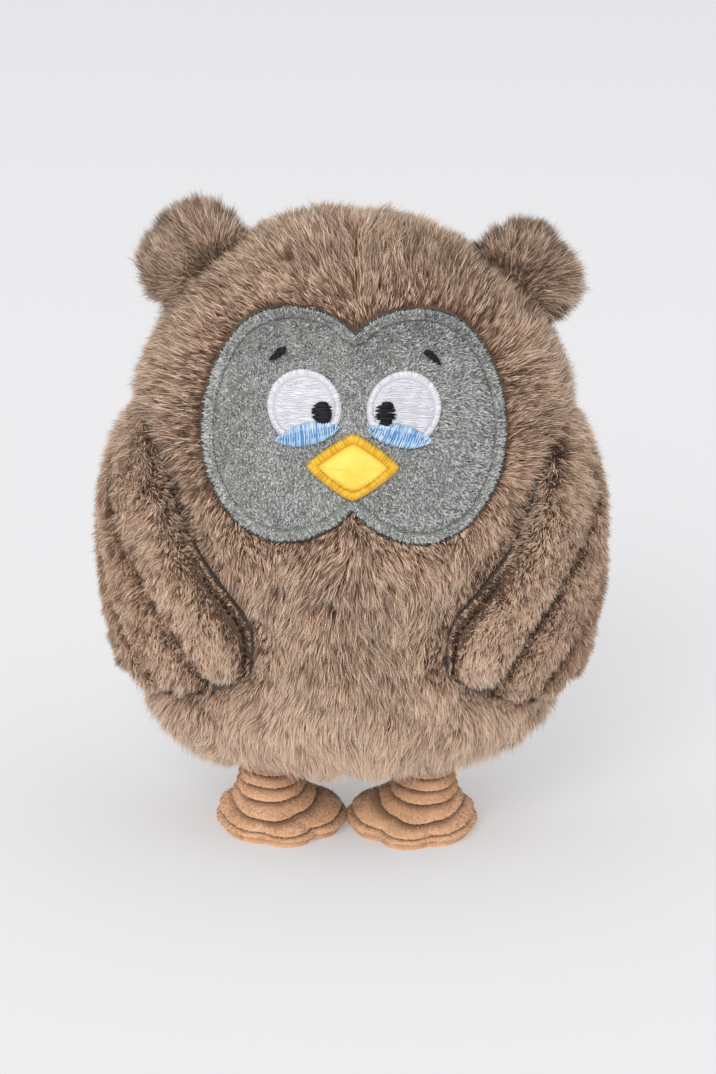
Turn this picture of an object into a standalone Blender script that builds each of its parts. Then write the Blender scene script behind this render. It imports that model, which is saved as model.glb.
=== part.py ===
"""Plush owl, upright and facing -Y, with its soles on the floor at z = 0.

A round body of four fur panels round a stuffing core carries a face mask with embroidered features,
two folding ears, two quilted wings that lift at the shoulder, and two ribbed legs that swing at the hip.
The fur panels' outer face is taken halfway up the pile. Sizes are in metres, left is +X.
"""

import math

import bmesh
import bpy
from mathutils import Matrix, Vector

# Clearances
SEAM_GAP = 0.0003
WING_CLEARANCE = 0.0008
EAR_CLEARANCE = 0.0007

# Body
BODY_HALF_WIDTH = 0.0698
BODY_HALF_DEPTH = 0.056
BODY_HEIGHT = 0.172
BODY_FLOOR_CLEARANCE = 0.020
WIDEST_HEIGHT_SHARE = 0.43
UPPER_CURVE_POWER = 2.2
LOWER_CURVE_POWER = 3.2
FUR_FABRIC_THICKNESS = 0.005
SEAM_DRAW_IN = 0.0022
SEAM_VALLEY_WIDTH = 0.014
SEAM_VALLEY_POWER = 3
PANEL_LONG_STEPS = 8
PANEL_POLAR_STEPS = 18
CORE_LONG_STEPS = 24
CORE_POLAR_STEPS = 14

# Face mask, a short plush panel that fills the opening in the front panels
FACE_HEIGHT_SHARE = 0.68
FACE_HALF_WIDTH = 0.0452
FACE_HALF_HEIGHT = 0.0350
MASK_SINK = 0.003
MASK_THICKNESS = 0.0017
MASK_BORDER_WIDTH = 0.0021
MASK_BORDER_THICKNESS = 0.001
MASK_RING_SHARES = (0.2, 0.4, 0.6, 0.8)
MASK_OUTLINE_SHARES = (
    (0.0, 0.72),
    (0.13, 0.84),
    (0.265, 0.90),
    (0.43, 0.912),
    (0.61, 0.855),
    (0.763, 0.72),
    (0.88, 0.50),
    (0.96, 0.253),
    (1.0, -0.04),
    (0.98, -0.39),
    (0.895, -0.664),
    (0.748, -0.886),
    (0.564, -1.0),
    (0.378, -1.0),
    (0.218, -0.93),
    (0.085, -0.82),
    (0.0, -0.705),
)

# Eyes, placed from the middle of the mask and the top of the beak
EYE_GAP = 0.0082
EYE_HALF_WIDTH = 0.0107
EYE_HALF_HEIGHT = 0.0111
EYE_ABOVE_BEAK = 0.0055
EYE_PATCH_THICKNESS = 0.0007
EYE_BORDER_WIDTH = 0.0020
EYE_BORDER_THICKNESS = 0.0010
PUPIL_RADIUS = 0.0031
PUPIL_INWARD_SHARE = 0.50
PUPIL_DROP_SHARE = 0.09
PUPIL_THICKNESS = 0.0006
LID_HALF_LENGTH = 0.0091
LID_HALF_HEIGHT = 0.0030
LID_DROP_SHARE = 0.68
LID_SLANT_DEGREES = 11
LID_THICKNESS = 0.0013
ROUND_POINTS = 24
SMALL_ROUND_POINTS = 12

# Brows, placed from the top outer quarter of the eyes
BROW_HALF_LENGTH = 0.0027
BROW_HALF_WIDTH = 0.0008
BROW_RISE = 0.0038
BROW_OUTWARD = 0.0083
BROW_SLANT_DEGREES = 42
BROW_THICKNESS = 0.0008

# Beak, a puffed diamond under the eyes with its own stitched border
BEAK_HALF_WIDTH = 0.0139
BEAK_HALF_HEIGHT = 0.0097
BEAK_ABOVE_BORDER = 0.0006
BEAK_BORDER_WIDTH = 0.0031
BEAK_BORDER_THICKNESS = 0.0014
BEAK_CROWN = 0.0012
BEAK_SIDE_BULGE_SHARE = 0.06

# Ears
EAR_POLAR_DEGREES = 38
EAR_HALF_WIDTH = 0.0155
EAR_HEIGHT = 0.0210
EAR_HALF_THICKNESS = 0.0070
EAR_EDGE_THICKNESS = 0.0008
EAR_SEAM_WIDTH = 0.0250
EAR_POINTS = 16
EAR_CORNER_DEGREES = 30
EAR_CROWN_SHARES = ((1.0, 0.0), (0.82, 0.35), (0.58, 0.75), (0.3, 0.96))

# Wings
WING_TOP_SHARE = 0.657
WING_LENGTH = 0.087
WING_THICKNESS = 0.0063
WING_EDGE_THICKNESS = 0.0020
WING_LINING_THICKNESS = 0.0012
WING_TIP_LENGTH = 0.0065
WING_ROOT_DROP = 0.006
WING_FEATHERS = 4
WING_COLUMNS_EACH = 4
WING_ROWS = 11
WING_FULLEST_SHARE = 0.45
WING_ACROSS_POWER = 0.7
WING_END_POWER = 0.5
# Longitudes in degrees of the five feather edges, at the shoulder, then down to the tips
WING_EDGE_DEGREES = (
    (67, 74, 84, 94, 104),
    (54, 76, 91, 103, 114),
    (46, 69, 88, 103, 117),
    (36, 56, 80, 98, 114),
    (26, 46, 66, 85, 104),
    (25, 36, 50, 66, 86),
)
# Each feather's length as a share of the longest
WING_REACH_SHARES = (0.87, 0.953, 1.0, 0.976)

# Legs
FOOT_GAP = 0.0034
FOOT_HALF_WIDTH = 0.0186
FOOT_FRONT_REACH = 0.0170
HEEL_REACH = 0.0100
ANKLE_RADIUS = 0.0093
HIP_OUTWARD = 0.0040
HIP_FORWARD = 0.0110
HIP_SEAM_HALF_WIDTH = 0.0070
HIP_SEAM_HALF_DEPTH = 0.0004
HIP_TAPER_SHARE = 0.24
HIP_TAPER_POWER = 0.7
SOLE_THICKNESS = 0.0018
LEG_COVER_THICKNESS = 0.0014
# Heights of the filling's rings, as shares of the way from the sole to the hip
LEG_FILLING_SHARES = (0.57, 0.39, 0.2, 0.0)
RIB_DEPTH = 0.0012
RIB_TILT_SHARE = 0.6
RIB_HEEL_TILT_SHARE = 0.15
# Where each rib starts, as a share of the ribbed height
RIB_LEVEL_SHARES = (0.0, 0.22, 0.47, 0.67, 0.84, 1.0)
LEG_POINTS = 40
LEG_FLARE_POWER = 4.5
LEG_SIDE_WAIST_SHARE = 0.38
LEG_FRONT_WAIST_SHARE = 0.50
TOE_SPACING_DEGREES = 54
TOE_TURN_DEGREES = 10
TOE_NOTCH = 0.0030

PANEL_SIDES = {"left": 1, "right": -1}


# Body surface


def widest_height():
    """Return the height of the body's widest level."""
    return BODY_FLOOR_CLEARANCE + BODY_HEIGHT * WIDEST_HEIGHT_SHARE


def half_height(above):
    """Return the distance from the widest level to the body's top or bottom."""
    return BODY_HEIGHT * ((1 - WIDEST_HEIGHT_SHARE) if above else WIDEST_HEIGHT_SHARE)


def curve_power(above):
    """Return the power of the superellipse above or below the widest level."""
    return UPPER_CURVE_POWER if above else LOWER_CURVE_POWER


def body_point(longitude, polar, depth=0.0):
    """Return the point under the body's surface: longitude 0 is the front, polar angle 0 the top."""
    above = math.cos(polar) >= 0
    power = 2 / curve_power(above)
    level = math.copysign(abs(math.cos(polar)) ** power, math.cos(polar))
    girth = max(math.sin(polar), 0.0) ** power
    return Vector((
        (BODY_HALF_WIDTH - depth) * girth * math.sin(longitude),
        -(BODY_HALF_DEPTH - depth) * girth * math.cos(longitude),
        widest_height() + (half_height(above) - depth) * level,
    ))


def girth_at(height, depth=0.0):
    """Return the body's girth at a height, as a share of its widest."""
    above = height >= widest_height()
    level = abs(height - widest_height()) / (half_height(above) - depth)
    power = curve_power(above)
    return max(1 - level**power, 0.0) ** (1 / power)


def side_point(longitude, height, depth=0.0):
    """Return the point under the body's surface at a longitude and a height."""
    girth = girth_at(height, depth)
    return Vector((
        (BODY_HALF_WIDTH - depth) * girth * math.sin(longitude),
        -(BODY_HALF_DEPTH - depth) * girth * math.cos(longitude),
        height,
    ))


def face_point(across, up, depth=0.0):
    """Return the point under the body's front, measured from the centre of the face mask."""
    height = BODY_FLOOR_CLEARANCE + BODY_HEIGHT * FACE_HEIGHT_SHARE + up
    girth = girth_at(height, depth)
    reach = across / (BODY_HALF_WIDTH - depth)
    return Vector((across, -(BODY_HALF_DEPTH - depth) * math.sqrt(girth**2 - reach**2), height))


def underside_height(across, forward):
    """Return the height of the body's underside at a place in plan."""
    girth = math.hypot(across / BODY_HALF_WIDTH, forward / BODY_HALF_DEPTH)
    level = (1 - girth**LOWER_CURVE_POWER) ** (1 / LOWER_CURVE_POWER)
    return widest_height() - half_height(False) * level


def seam_valley(longitude, polar):
    """Return how far the seams between the panels draw the fur in, least where the face is."""
    place = body_point(longitude, polar)
    middle = max(1 - abs(place.x) / SEAM_VALLEY_WIDTH, 0) ** SEAM_VALLEY_POWER
    if math.cos(longitude) > 0:
        middle *= abs(math.cos(polar)) ** SEAM_VALLEY_POWER
    side = max(1 - abs(place.y) / SEAM_VALLEY_WIDTH, 0) ** SEAM_VALLEY_POWER
    return SEAM_DRAW_IN * max(middle, side)


# Mesh helpers


def new_material(name, colour, roughness):
    """Return a material of one colour, roughness and no metal."""
    material = bpy.data.materials.new(name)
    material.use_nodes = True
    shader = material.node_tree.nodes["Principled BSDF"]
    shader.inputs["Base Color"].default_value = (*colour, 1)
    shader.inputs["Roughness"].default_value = roughness
    shader.inputs["Metallic"].default_value = 0
    return material


def finish_object(name, bm, material, pivot=None):
    """Turn a bmesh in world coordinates into an object, with its origin on its joint's empty if it has one."""
    bmesh.ops.remove_doubles(bm, verts=bm.verts, dist=SEAM_GAP / 100)
    bmesh.ops.recalc_face_normals(bm, faces=bm.faces)
    if bm.calc_volume(signed=True) < 0:
        bmesh.ops.reverse_faces(bm, faces=bm.faces)
    if pivot is not None:
        bmesh.ops.translate(bm, verts=bm.verts, vec=-pivot.location)
    mesh = bpy.data.meshes.new(name)
    bm.to_mesh(mesh)
    bm.free()
    mesh.shade_smooth()
    mesh.set_sharp_from_angle(angle=math.radians(50))
    mesh.materials.append(material)
    obj = bpy.data.objects.new(name, mesh)
    bpy.context.scene.collection.objects.link(obj)
    obj.parent = pivot
    return obj


def add_face(bm, corners):
    """Add a face on the corners that differ."""
    kept = [v for i, v in enumerate(corners) if v not in corners[:i]]
    if len(kept) > 2:
        bm.faces.new(kept)


def loft(rings, closed=False):
    """Skin rings of points, one after another; a ring of one point is a pole, and closed joins last to first."""
    bm = bmesh.new()
    loops = [[bm.verts.new(point) for point in ring] for ring in rings]
    pairs = list(zip(loops, loops[1:]))
    if closed:
        pairs.append((loops[-1], loops[0]))
    for low, high in pairs:
        count = max(len(low), len(high))
        for i in range(count):
            j = (i + 1) % count
            add_face(bm, [low[i % len(low)], low[j % len(low)], high[j % len(high)], high[i % len(high)]])
    return bm


def slab(outer, inner):
    """Close the space between two grids of points that have as many rows and columns."""
    bm = bmesh.new()
    tops = [[bm.verts.new(point) for point in row] for row in outer]
    bottoms = [[bm.verts.new(point) for point in row] for row in inner]
    rows, columns = len(outer), len(outer[0])
    for r in range(rows - 1):
        for c in range(columns - 1):
            for grid in (tops, bottoms):
                add_face(bm, [grid[r][c], grid[r][c + 1], grid[r + 1][c + 1], grid[r + 1][c]])
    for c in range(columns - 1):
        for r in (0, rows - 1):
            add_face(bm, [tops[r][c], tops[r][c + 1], bottoms[r][c + 1], bottoms[r][c]])
    for r in range(rows - 1):
        for c in (0, columns - 1):
            add_face(bm, [tops[r][c], tops[r + 1][c], bottoms[r + 1][c], bottoms[r][c]])
    return bm


def scaled_outline(outline, centre, share):
    """Return the outline drawn in towards its centre; share 0 gives the centre alone."""
    if share == 0:
        return [centre]
    return [
        (centre[0] + (across - centre[0]) * share, centre[1] + (up - centre[1]) * share)
        for across, up in outline
    ]


def inset_outline(outline, width):
    """Return the outline moved inwards by a width along the bisector of its edges; a minus width widens it."""
    turns = sum(a[0] * b[1] - b[0] * a[1] for a, b in zip(outline, outline[1:] + outline[:1]))
    side = math.copysign(1, turns)
    moved = []
    for i, (across, up) in enumerate(outline):
        before = Vector(outline[i - 1])
        after = Vector(outline[(i + 1) % len(outline)])
        here = Vector((across, up))
        first = (here - before).normalized()
        second = (after - here).normalized()
        bisector = Vector((-(first + second).y, (first + second).x)).normalized() * side
        spread = max(abs(bisector.dot(Vector((-first.y, first.x)))), 0.5)
        moved.append(tuple(here + bisector * width / spread))
    return moved


def pad(outline, centre, place, profile):
    """Skin an outline drawn in by shares at heights, from the bottom's centre over the rim to the top's."""
    return loft([
        [place(across, up, height) for across, up in scaled_outline(outline, centre, share)]
        for share, height in profile
    ])


def face_pad(outline, centre, low, high, shares=(0.5,), crown=0.0):
    """Make a pad that follows the face, between two depths, its middle raised by a crown."""
    inward = sorted(shares, reverse=True)
    bottom = [(0, low)] + [(share, low) for share in reversed(inward)] + [(1, low)]
    top = [(1, high)] + [(share, high - crown * (1 - share**2)) for share in inward] + [(0, high - crown)]
    return pad(outline, centre, face_point, bottom + top)


def face_border(outline, width, low, high):
    """Make a stitched border that follows the inside of an outline on the face, crowned like a cord."""
    middle = inset_outline(outline, width / 2)
    inner = inset_outline(outline, width)
    shoulder = (low + high) / 2
    path = ((outline, low), (outline, shoulder), (middle, high), (inner, shoulder), (inner, low))
    return loft([[face_point(across, up, depth) for across, up in ring] for ring, depth in path], closed=True)


def ellipse(centre, half_width, half_height, points):
    """Return the points of an ellipse."""
    angles = [2 * math.pi * i / points for i in range(points)]
    return [
        (centre[0] + half_width * math.cos(a), centre[1] + half_height * math.sin(a)) for a in angles
    ]


def turned(outline, centre, degrees):
    """Return the outline turned about its centre."""
    turn = Matrix.Rotation(math.radians(degrees), 2)
    return [tuple(Vector(centre) + turn @ (Vector(point) - Vector(centre))) for point in outline]


# Body


def mask_outline():
    """Return the mask's outline, two lobes that meet in a notch above and below the eyes."""
    half = [(x * FACE_HALF_WIDTH, z * FACE_HALF_HEIGHT) for x, z in MASK_OUTLINE_SHARES]
    return half + [(-x, z) for x, z in reversed(half[1:-1])]


def mask_cutter():
    """Return a hidden prism that opens the front panels for the mask, which keeps a seam's gap."""
    outline = inset_outline(mask_outline(), -SEAM_GAP)
    level = BODY_FLOOR_CLEARANCE + BODY_HEIGHT * FACE_HEIGHT_SHARE
    ends = [
        [Vector((across, forward, level + up)) for across, up in outline]
        for forward in (-2 * BODY_HALF_DEPTH, -SEAM_GAP)
    ]
    bm = loft(ends)
    bmesh.ops.holes_fill(bm, edges=bm.edges, sides=0)
    cutter = finish_object("mask_cutter", bm, new_material("cutter", (1, 1, 1), 1))
    cutter.hide_render = True
    cutter.display_type = "WIRE"
    return cutter


def panel_grid(side, facing, depth, valley):
    """Return one fur panel's grid of points: side is left or right, facing is front or back."""
    grid = []
    for r in range(PANEL_POLAR_STEPS + 1):
        polar = math.pi * r / PANEL_POLAR_STEPS
        row = []
        for c in range(PANEL_LONG_STEPS + 1):
            turn = math.pi / 2 * c / PANEL_LONG_STEPS
            longitude = turn if facing == "front" else math.pi - turn
            drawn = seam_valley(longitude, polar) if valley else 0
            point = body_point(longitude, polar, depth + drawn)
            half_gap = SEAM_GAP / 2
            point += Vector((half_gap, -half_gap if facing == "front" else half_gap, 0))
            row.append(Vector((point.x * PANEL_SIDES[side], point.y, point.z)))
        grid.append(row)
    return grid


def make_body_panels(fur):
    """Make the four fur panels, sewn along the middle and the sides, with the mask's opening in front."""
    cutter = mask_cutter()
    for facing in ("front", "back"):
        for side in PANEL_SIDES:
            outer = panel_grid(side, facing, 0, True)
            inner = panel_grid(side, facing, FUR_FABRIC_THICKNESS, False)
            panel = finish_object(f"body_{facing}_{side}", slab(outer, inner), fur)
            if facing == "front":
                opening = panel.modifiers.new("mask_opening", "BOOLEAN")
                opening.operation = "DIFFERENCE"
                opening.object = cutter


def make_body_stuffing(filling):
    """Make the stuffing core that fills the panels and backs the mask."""
    depth = FUR_FABRIC_THICKNESS + SEAM_GAP
    rings = [[body_point(0, 0, depth)]]
    for r in range(1, CORE_POLAR_STEPS):
        polar = math.pi * r / CORE_POLAR_STEPS
        turns = [2 * math.pi * i / CORE_LONG_STEPS for i in range(CORE_LONG_STEPS)]
        rings.append([body_point(turn, polar, depth) for turn in turns])
    rings.append([body_point(0, math.pi, depth)])
    finish_object("body_stuffing", loft(rings), filling)


# Face


def make_face_mask(plush, thread):
    """Make the mask panel and the stitched border on its rim."""
    outline = mask_outline()
    bottom = MASK_SINK + MASK_THICKNESS
    panel = face_pad(outline, (0, 0), bottom, MASK_SINK, MASK_RING_SHARES)
    finish_object("face_mask", panel, plush)
    low = MASK_SINK - SEAM_GAP
    border = face_border(outline, MASK_BORDER_WIDTH, low, low - MASK_BORDER_THICKNESS)
    finish_object("face_mask_border", border, thread)


def lid_outline(eye_centre, side, growth=0.0):
    """Return the lens shape of a lower lid, slanted down outwards."""
    centre = (eye_centre[0], eye_centre[1] - EYE_HALF_HEIGHT * LID_DROP_SHARE)
    lens = ellipse(centre, LID_HALF_LENGTH + growth, LID_HALF_HEIGHT + growth, SMALL_ROUND_POINTS * 2)
    return centre, turned(lens, centre, -LID_SLANT_DEGREES * side)


def clip_above_lid(outline, centre, lid):
    """Return the outline with what dips into the lid lifted to the lid's upper edge."""
    lid_centre, lid_points = lid
    upper = sorted(point for point in lid_points if point[1] >= lid_centre[1] - LID_HALF_HEIGHT)
    clipped = []
    for across, up in outline:
        edge = max((z for x, z in upper if abs(x - across) < LID_HALF_LENGTH / 6), default=None)
        below = edge is not None and up < edge and up < centre[1]
        clipped.append((across, edge if below else up))
    return clipped


def make_eye(name, side, finishes):
    """Make one eye: white patch, its stitched border, a pupil on it and the blue lower lid."""
    beak_top = beak_centre()[1] + BEAK_HALF_HEIGHT
    centre = (side * (EYE_GAP / 2 + EYE_HALF_WIDTH), beak_top + EYE_ABOVE_BEAK)
    lid = lid_outline(centre, side)
    grown = lid_outline(centre, side, SEAM_GAP)
    low = MASK_SINK - SEAM_GAP
    outer = ellipse(centre, EYE_HALF_WIDTH, EYE_HALF_HEIGHT, ROUND_POINTS)
    outer = clip_above_lid(outer, centre, grown)
    border = face_border(outer, EYE_BORDER_WIDTH, low, low - EYE_BORDER_THICKNESS)
    finish_object(f"eye_border_{name}", border, finishes["white_thread"])
    white = inset_outline(outer, EYE_BORDER_WIDTH + SEAM_GAP)
    patch = face_pad(white, centre, low, low - EYE_PATCH_THICKNESS)
    finish_object(f"eye_patch_{name}", patch, finishes["white_plush"])
    pupil_centre = (
        centre[0] - side * EYE_HALF_WIDTH * PUPIL_INWARD_SHARE,
        centre[1] - EYE_HALF_HEIGHT * PUPIL_DROP_SHARE,
    )
    pupil = ellipse(pupil_centre, PUPIL_RADIUS, PUPIL_RADIUS, SMALL_ROUND_POINTS)
    on_patch = low - EYE_PATCH_THICKNESS - SEAM_GAP
    pupil_pad = face_pad(pupil, pupil_centre, on_patch, on_patch - PUPIL_THICKNESS)
    finish_object(f"pupil_{name}", pupil_pad, finishes["black_thread"])
    lid_pad = face_pad(lid[1], lid[0], low, low - LID_THICKNESS)
    finish_object(f"lower_lid_{name}", lid_pad, finishes["blue_thread"])
    brow_centre = (
        centre[0] + side * BROW_OUTWARD,
        centre[1] + EYE_HALF_HEIGHT + BROW_RISE,
    )
    brow = ellipse(brow_centre, BROW_HALF_LENGTH, BROW_HALF_WIDTH, SMALL_ROUND_POINTS)
    brow = turned(brow, brow_centre, -BROW_SLANT_DEGREES * side)
    brow_pad = face_pad(brow, brow_centre, low, low - BROW_THICKNESS)
    finish_object(f"brow_{name}", brow_pad, finishes["black_thread"])


def beak_centre():
    """Return the middle of the beak, whose lower point stands just above the border at the mask's notch."""
    inner_edge = inset_outline(mask_outline(), MASK_BORDER_WIDTH)
    notch = len(MASK_OUTLINE_SHARES) - 1
    return 0, inner_edge[notch][1] + BEAK_ABOVE_BORDER + BEAK_HALF_HEIGHT


def beak_outline(centre):
    """Return the diamond, with its four sides bowed out a little."""
    corners = [
        (centre[0] + BEAK_HALF_WIDTH, centre[1]),
        (centre[0], centre[1] + BEAK_HALF_HEIGHT),
        (centre[0] - BEAK_HALF_WIDTH, centre[1]),
        (centre[0], centre[1] - BEAK_HALF_HEIGHT),
    ]
    points = []
    for start, end in zip(corners, corners[1:] + corners[:1]):
        middle = (Vector(start) + Vector(end)) / 2
        bowed = middle + (middle - Vector(centre)) * BEAK_SIDE_BULGE_SHARE
        points += [start, tuple((Vector(start) + bowed) / 2), tuple(bowed), tuple((bowed + Vector(end)) / 2)]
    return points


def make_beak(finishes):
    """Make the beak's puffed panel and its stitched border."""
    centre = beak_centre()
    outline = beak_outline(centre)
    low = MASK_SINK - SEAM_GAP
    border = face_border(outline, BEAK_BORDER_WIDTH, low, low - BEAK_BORDER_THICKNESS)
    finish_object("beak_border", border, finishes["gold_thread"])
    inner = inset_outline(outline, BEAK_BORDER_WIDTH + SEAM_GAP)
    panel = face_pad(inner, centre, low, low - BEAK_BORDER_THICKNESS / 2, crown=BEAK_CROWN)
    finish_object("beak_panel", panel, finishes["yellow_fabric"])


# Ears


def ear_frame(side):
    """Return the ear's seat on the side seam, as its place and its upward and inward directions."""
    polar = math.radians(EAR_POLAR_DEGREES)
    step = math.radians(1)
    rim = EAR_EDGE_THICKNESS + SEAM_GAP
    valley = SEAM_DRAW_IN * max(1 - rim / SEAM_VALLEY_WIDTH, 0) ** SEAM_VALLEY_POWER
    seat = body_point(math.pi / 2, polar, valley)
    along = (body_point(math.pi / 2, polar + step) - body_point(math.pi / 2, polar - step)).normalized()
    outward = Vector((-along.z, 0, along.x))
    if outward.z < 0:
        outward = -outward
    mirror = Vector((side, 1, 1))
    return seat * mirror, outward * mirror, along * mirror


def ear_outline():
    """Return an ear's outline from its seat: a straight base seam under a round puff."""
    half_seam = EAR_SEAM_WIDTH / 2
    centre = EAR_HEIGHT / 2
    points = []
    for i in range(EAR_POINTS + 1):
        turn = math.radians(-EAR_CORNER_DEGREES + (180 + 2 * EAR_CORNER_DEGREES) * i / EAR_POINTS)
        points.append((EAR_HALF_WIDTH * math.cos(turn), centre + centre * math.sin(turn)))
    return [(half_seam, 0), *points, (-half_seam, 0)]


def make_ear(name, side, fur):
    """Make an ear's front and back panels, which meet at a seam round the rim and fold at its base."""
    seat, outward, along = ear_frame(side)
    hinge = seat + outward * EAR_CLEARANCE
    pivot = make_pivot(f"ear_{name}_hinge", hinge)
    centre = (0, EAR_HEIGHT / 2)
    half_gap = SEAM_GAP / 2
    for facing, forward in (("front", -1), ("back", 1)):
        def place(across, up, height):
            return hinge + along * across + outward * up + Vector((0, forward * height, 0))

        swell = EAR_HALF_THICKNESS - EAR_EDGE_THICKNESS
        rim = half_gap + EAR_EDGE_THICKNESS
        top = [(share, rim + swell * rise) for share, rise in EAR_CROWN_SHARES]
        profile = [(0, half_gap), (1, half_gap), *top, (0, half_gap + EAR_HALF_THICKNESS)]
        finish_object(f"ear_{name}_{facing}", pad(ear_outline(), centre, place, profile), fur, pivot)


# Wings


def feather_share(column):
    """Return a column's feather and its place across it, from 0 to 1."""
    feather = min(column // WING_COLUMNS_EACH, WING_FEATHERS - 1)
    return feather, (column - feather * WING_COLUMNS_EACH) / WING_COLUMNS_EACH


def wing_longitude(column, down):
    """Return the longitude of a column of the wing, a share of the way down."""
    feather, across = feather_share(column)
    place = down * (len(WING_EDGE_DEGREES) - 1)
    row = min(int(place), len(WING_EDGE_DEGREES) - 2)
    part = place - row
    edges = [
        WING_EDGE_DEGREES[row][i] * (1 - part) + WING_EDGE_DEGREES[row + 1][i] * part
        for i in (feather, feather + 1)
    ]
    return math.radians(edges[0] * (1 - across) + edges[1] * across)


def wing_heights(column):
    """Return the heights of the wing's shoulder and tip on a column, so that each feather ends round."""
    feather, across = feather_share(column)
    whole = column / (WING_FEATHERS * WING_COLUMNS_EACH)
    shoulder = BODY_FLOOR_CLEARANCE + BODY_HEIGHT * WING_TOP_SHARE
    shoulder -= WING_ROOT_DROP * (2 * whole - 1) ** 2
    edge = 2 * across - 1
    reach = WING_LENGTH * WING_REACH_SHARES[feather] - WING_TIP_LENGTH
    if across == 0 and feather > 0:
        reach = WING_LENGTH * sum(WING_REACH_SHARES[feather - 1 : feather + 1]) / 2 - WING_TIP_LENGTH
    tip = WING_TIP_LENGTH * math.sqrt(max(1 - edge**2, 0))
    top = BODY_FLOOR_CLEARANCE + BODY_HEIGHT * WING_TOP_SHARE
    return shoulder, top - reach - tip


def wing_grid(side, raised, columns):
    """Return a grid of the wing at a distance from the body that raised gives for a column and share down."""
    grid = []
    for r in range(WING_ROWS + 1):
        down = r / WING_ROWS
        row = []
        for column in columns:
            shoulder, tip = wing_heights(column)
            height = shoulder + (tip - shoulder) * down
            point = side_point(wing_longitude(column, down), height, -raised(column, down))
            row.append(Vector((point.x * side, point.y, point.z)))
        grid.append(row)
    return grid


def wing_puff(column, down):
    """Return the thickness of the quilted layer: full along each feather, thin at grooves and edges."""
    _, across = feather_share(column)
    groove = math.sin(math.pi * across) ** WING_ACROSS_POWER if 0 < across < 1 else 0
    end = math.sin(math.pi * min(1 / 2 + abs(down - WING_FULLEST_SHARE), 1)) ** WING_END_POWER
    swell = WING_THICKNESS - WING_EDGE_THICKNESS
    return WING_EDGE_THICKNESS + swell * groove * end


def make_wing(name, side, fur, lining_fabric):
    """Make a wing's quilted outer layer and its lining, which lift together at the shoulder."""
    last = WING_FEATHERS * WING_COLUMNS_EACH
    whole = range(last + 1)
    top, _ = wing_heights(last // 2)
    hinge = side_point(math.pi / 2, top, -WING_CLEARANCE)
    pivot = make_pivot(f"wing_{name}_hinge", Vector((hinge.x * side, hinge.y, hinge.z)))
    base = WING_CLEARANCE + WING_LINING_THICKNESS + SEAM_GAP
    bottom = wing_grid(side, lambda column, down: base, whole)
    outer = wing_grid(side, lambda column, down: base + wing_puff(column, down), whole)
    finish_object(f"wing_{name}_outer", slab(outer, bottom), fur, pivot)
    under = wing_grid(side, lambda column, down: WING_CLEARANCE, whole)
    over = wing_grid(side, lambda column, down: WING_CLEARANCE + WING_LINING_THICKNESS, whole)
    finish_object(f"wing_{name}_lining", slab(over, under), lining_fabric, pivot)


# Legs


def flare(up, waist_share):
    """Return how much of the foot's spread is left at a share of the leg's height."""
    return 1 / (1 + (up / waist_share) ** LEG_FLARE_POWER)


def foot_centre(side):
    """Return the place across of the foot's middle."""
    return side * (FOOT_GAP / 2 + FOOT_HALF_WIDTH)


def hip_place(side):
    """Return where the leg's top seam meets the body's underside."""
    across = foot_centre(side) + side * HIP_OUTWARD
    return Vector((across, -HIP_FORWARD, underside_height(across, HIP_FORWARD) - SEAM_GAP))


def toe_notch(side, turn, up):
    """Return how far the outline is drawn in between the three toes, which point a little inwards."""
    degrees = abs(math.degrees(turn) * side + TOE_TURN_DEGREES)
    if degrees > TOE_SPACING_DEGREES:
        return 0
    between = 1 - abs(math.cos(math.pi * degrees / TOE_SPACING_DEGREES))
    return TOE_NOTCH * between * flare(up, LEG_SIDE_WAIST_SHARE)


def leg_ring(side, up, inset=0.0, bulge=0.0):
    """Return a ring of the leg, a share of the way from the sole up to the hip's seam; its front dips."""
    hip = hip_place(side)
    sides = flare(up, LEG_SIDE_WAIST_SHARE)
    ahead = flare(up, LEG_FRONT_WAIST_SHARE)
    pinch = max((up - 1 + HIP_TAPER_SHARE) / HIP_TAPER_SHARE, 0) ** HIP_TAPER_POWER
    half_width = ANKLE_RADIUS + (FOOT_HALF_WIDTH - ANKLE_RADIUS) * sides
    half_width += (HIP_SEAM_HALF_WIDTH - ANKLE_RADIUS) * pinch
    front = ANKLE_RADIUS + FOOT_FRONT_REACH * ahead + (HIP_SEAM_HALF_DEPTH - ANKLE_RADIUS) * pinch
    back = ANKLE_RADIUS + HEEL_REACH * sides + (HIP_SEAM_HALF_DEPTH - ANKLE_RADIUS) * pinch
    across = hip.x + (foot_centre(side) - hip.x) * sides
    low = SOLE_THICKNESS + SEAM_GAP
    ring = []
    for i in range(LEG_POINTS):
        turn = 2 * math.pi * i / LEG_POINTS
        turn = turn - 2 * math.pi if turn > math.pi else turn
        drawn = toe_notch(side, turn, up) + inset - bulge
        forward = (front if math.cos(turn) > 0 else back) - drawn
        x = across + (half_width - drawn) * math.sin(turn)
        y = hip.y - forward * math.cos(turn)
        seat = hip.z + (underside_height(x, y) - SEAM_GAP - hip.z) * pinch
        tilt = RIB_TILT_SHARE if y < hip.y else RIB_HEEL_TILT_SHARE
        dip = tilt * (1 - up) * (hip.y - y) / (ANKLE_RADIUS + FOOT_FRONT_REACH)
        ring.append(Vector((x, y, low + (seat - low) * up * (1 - dip))))
    return ring


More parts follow.
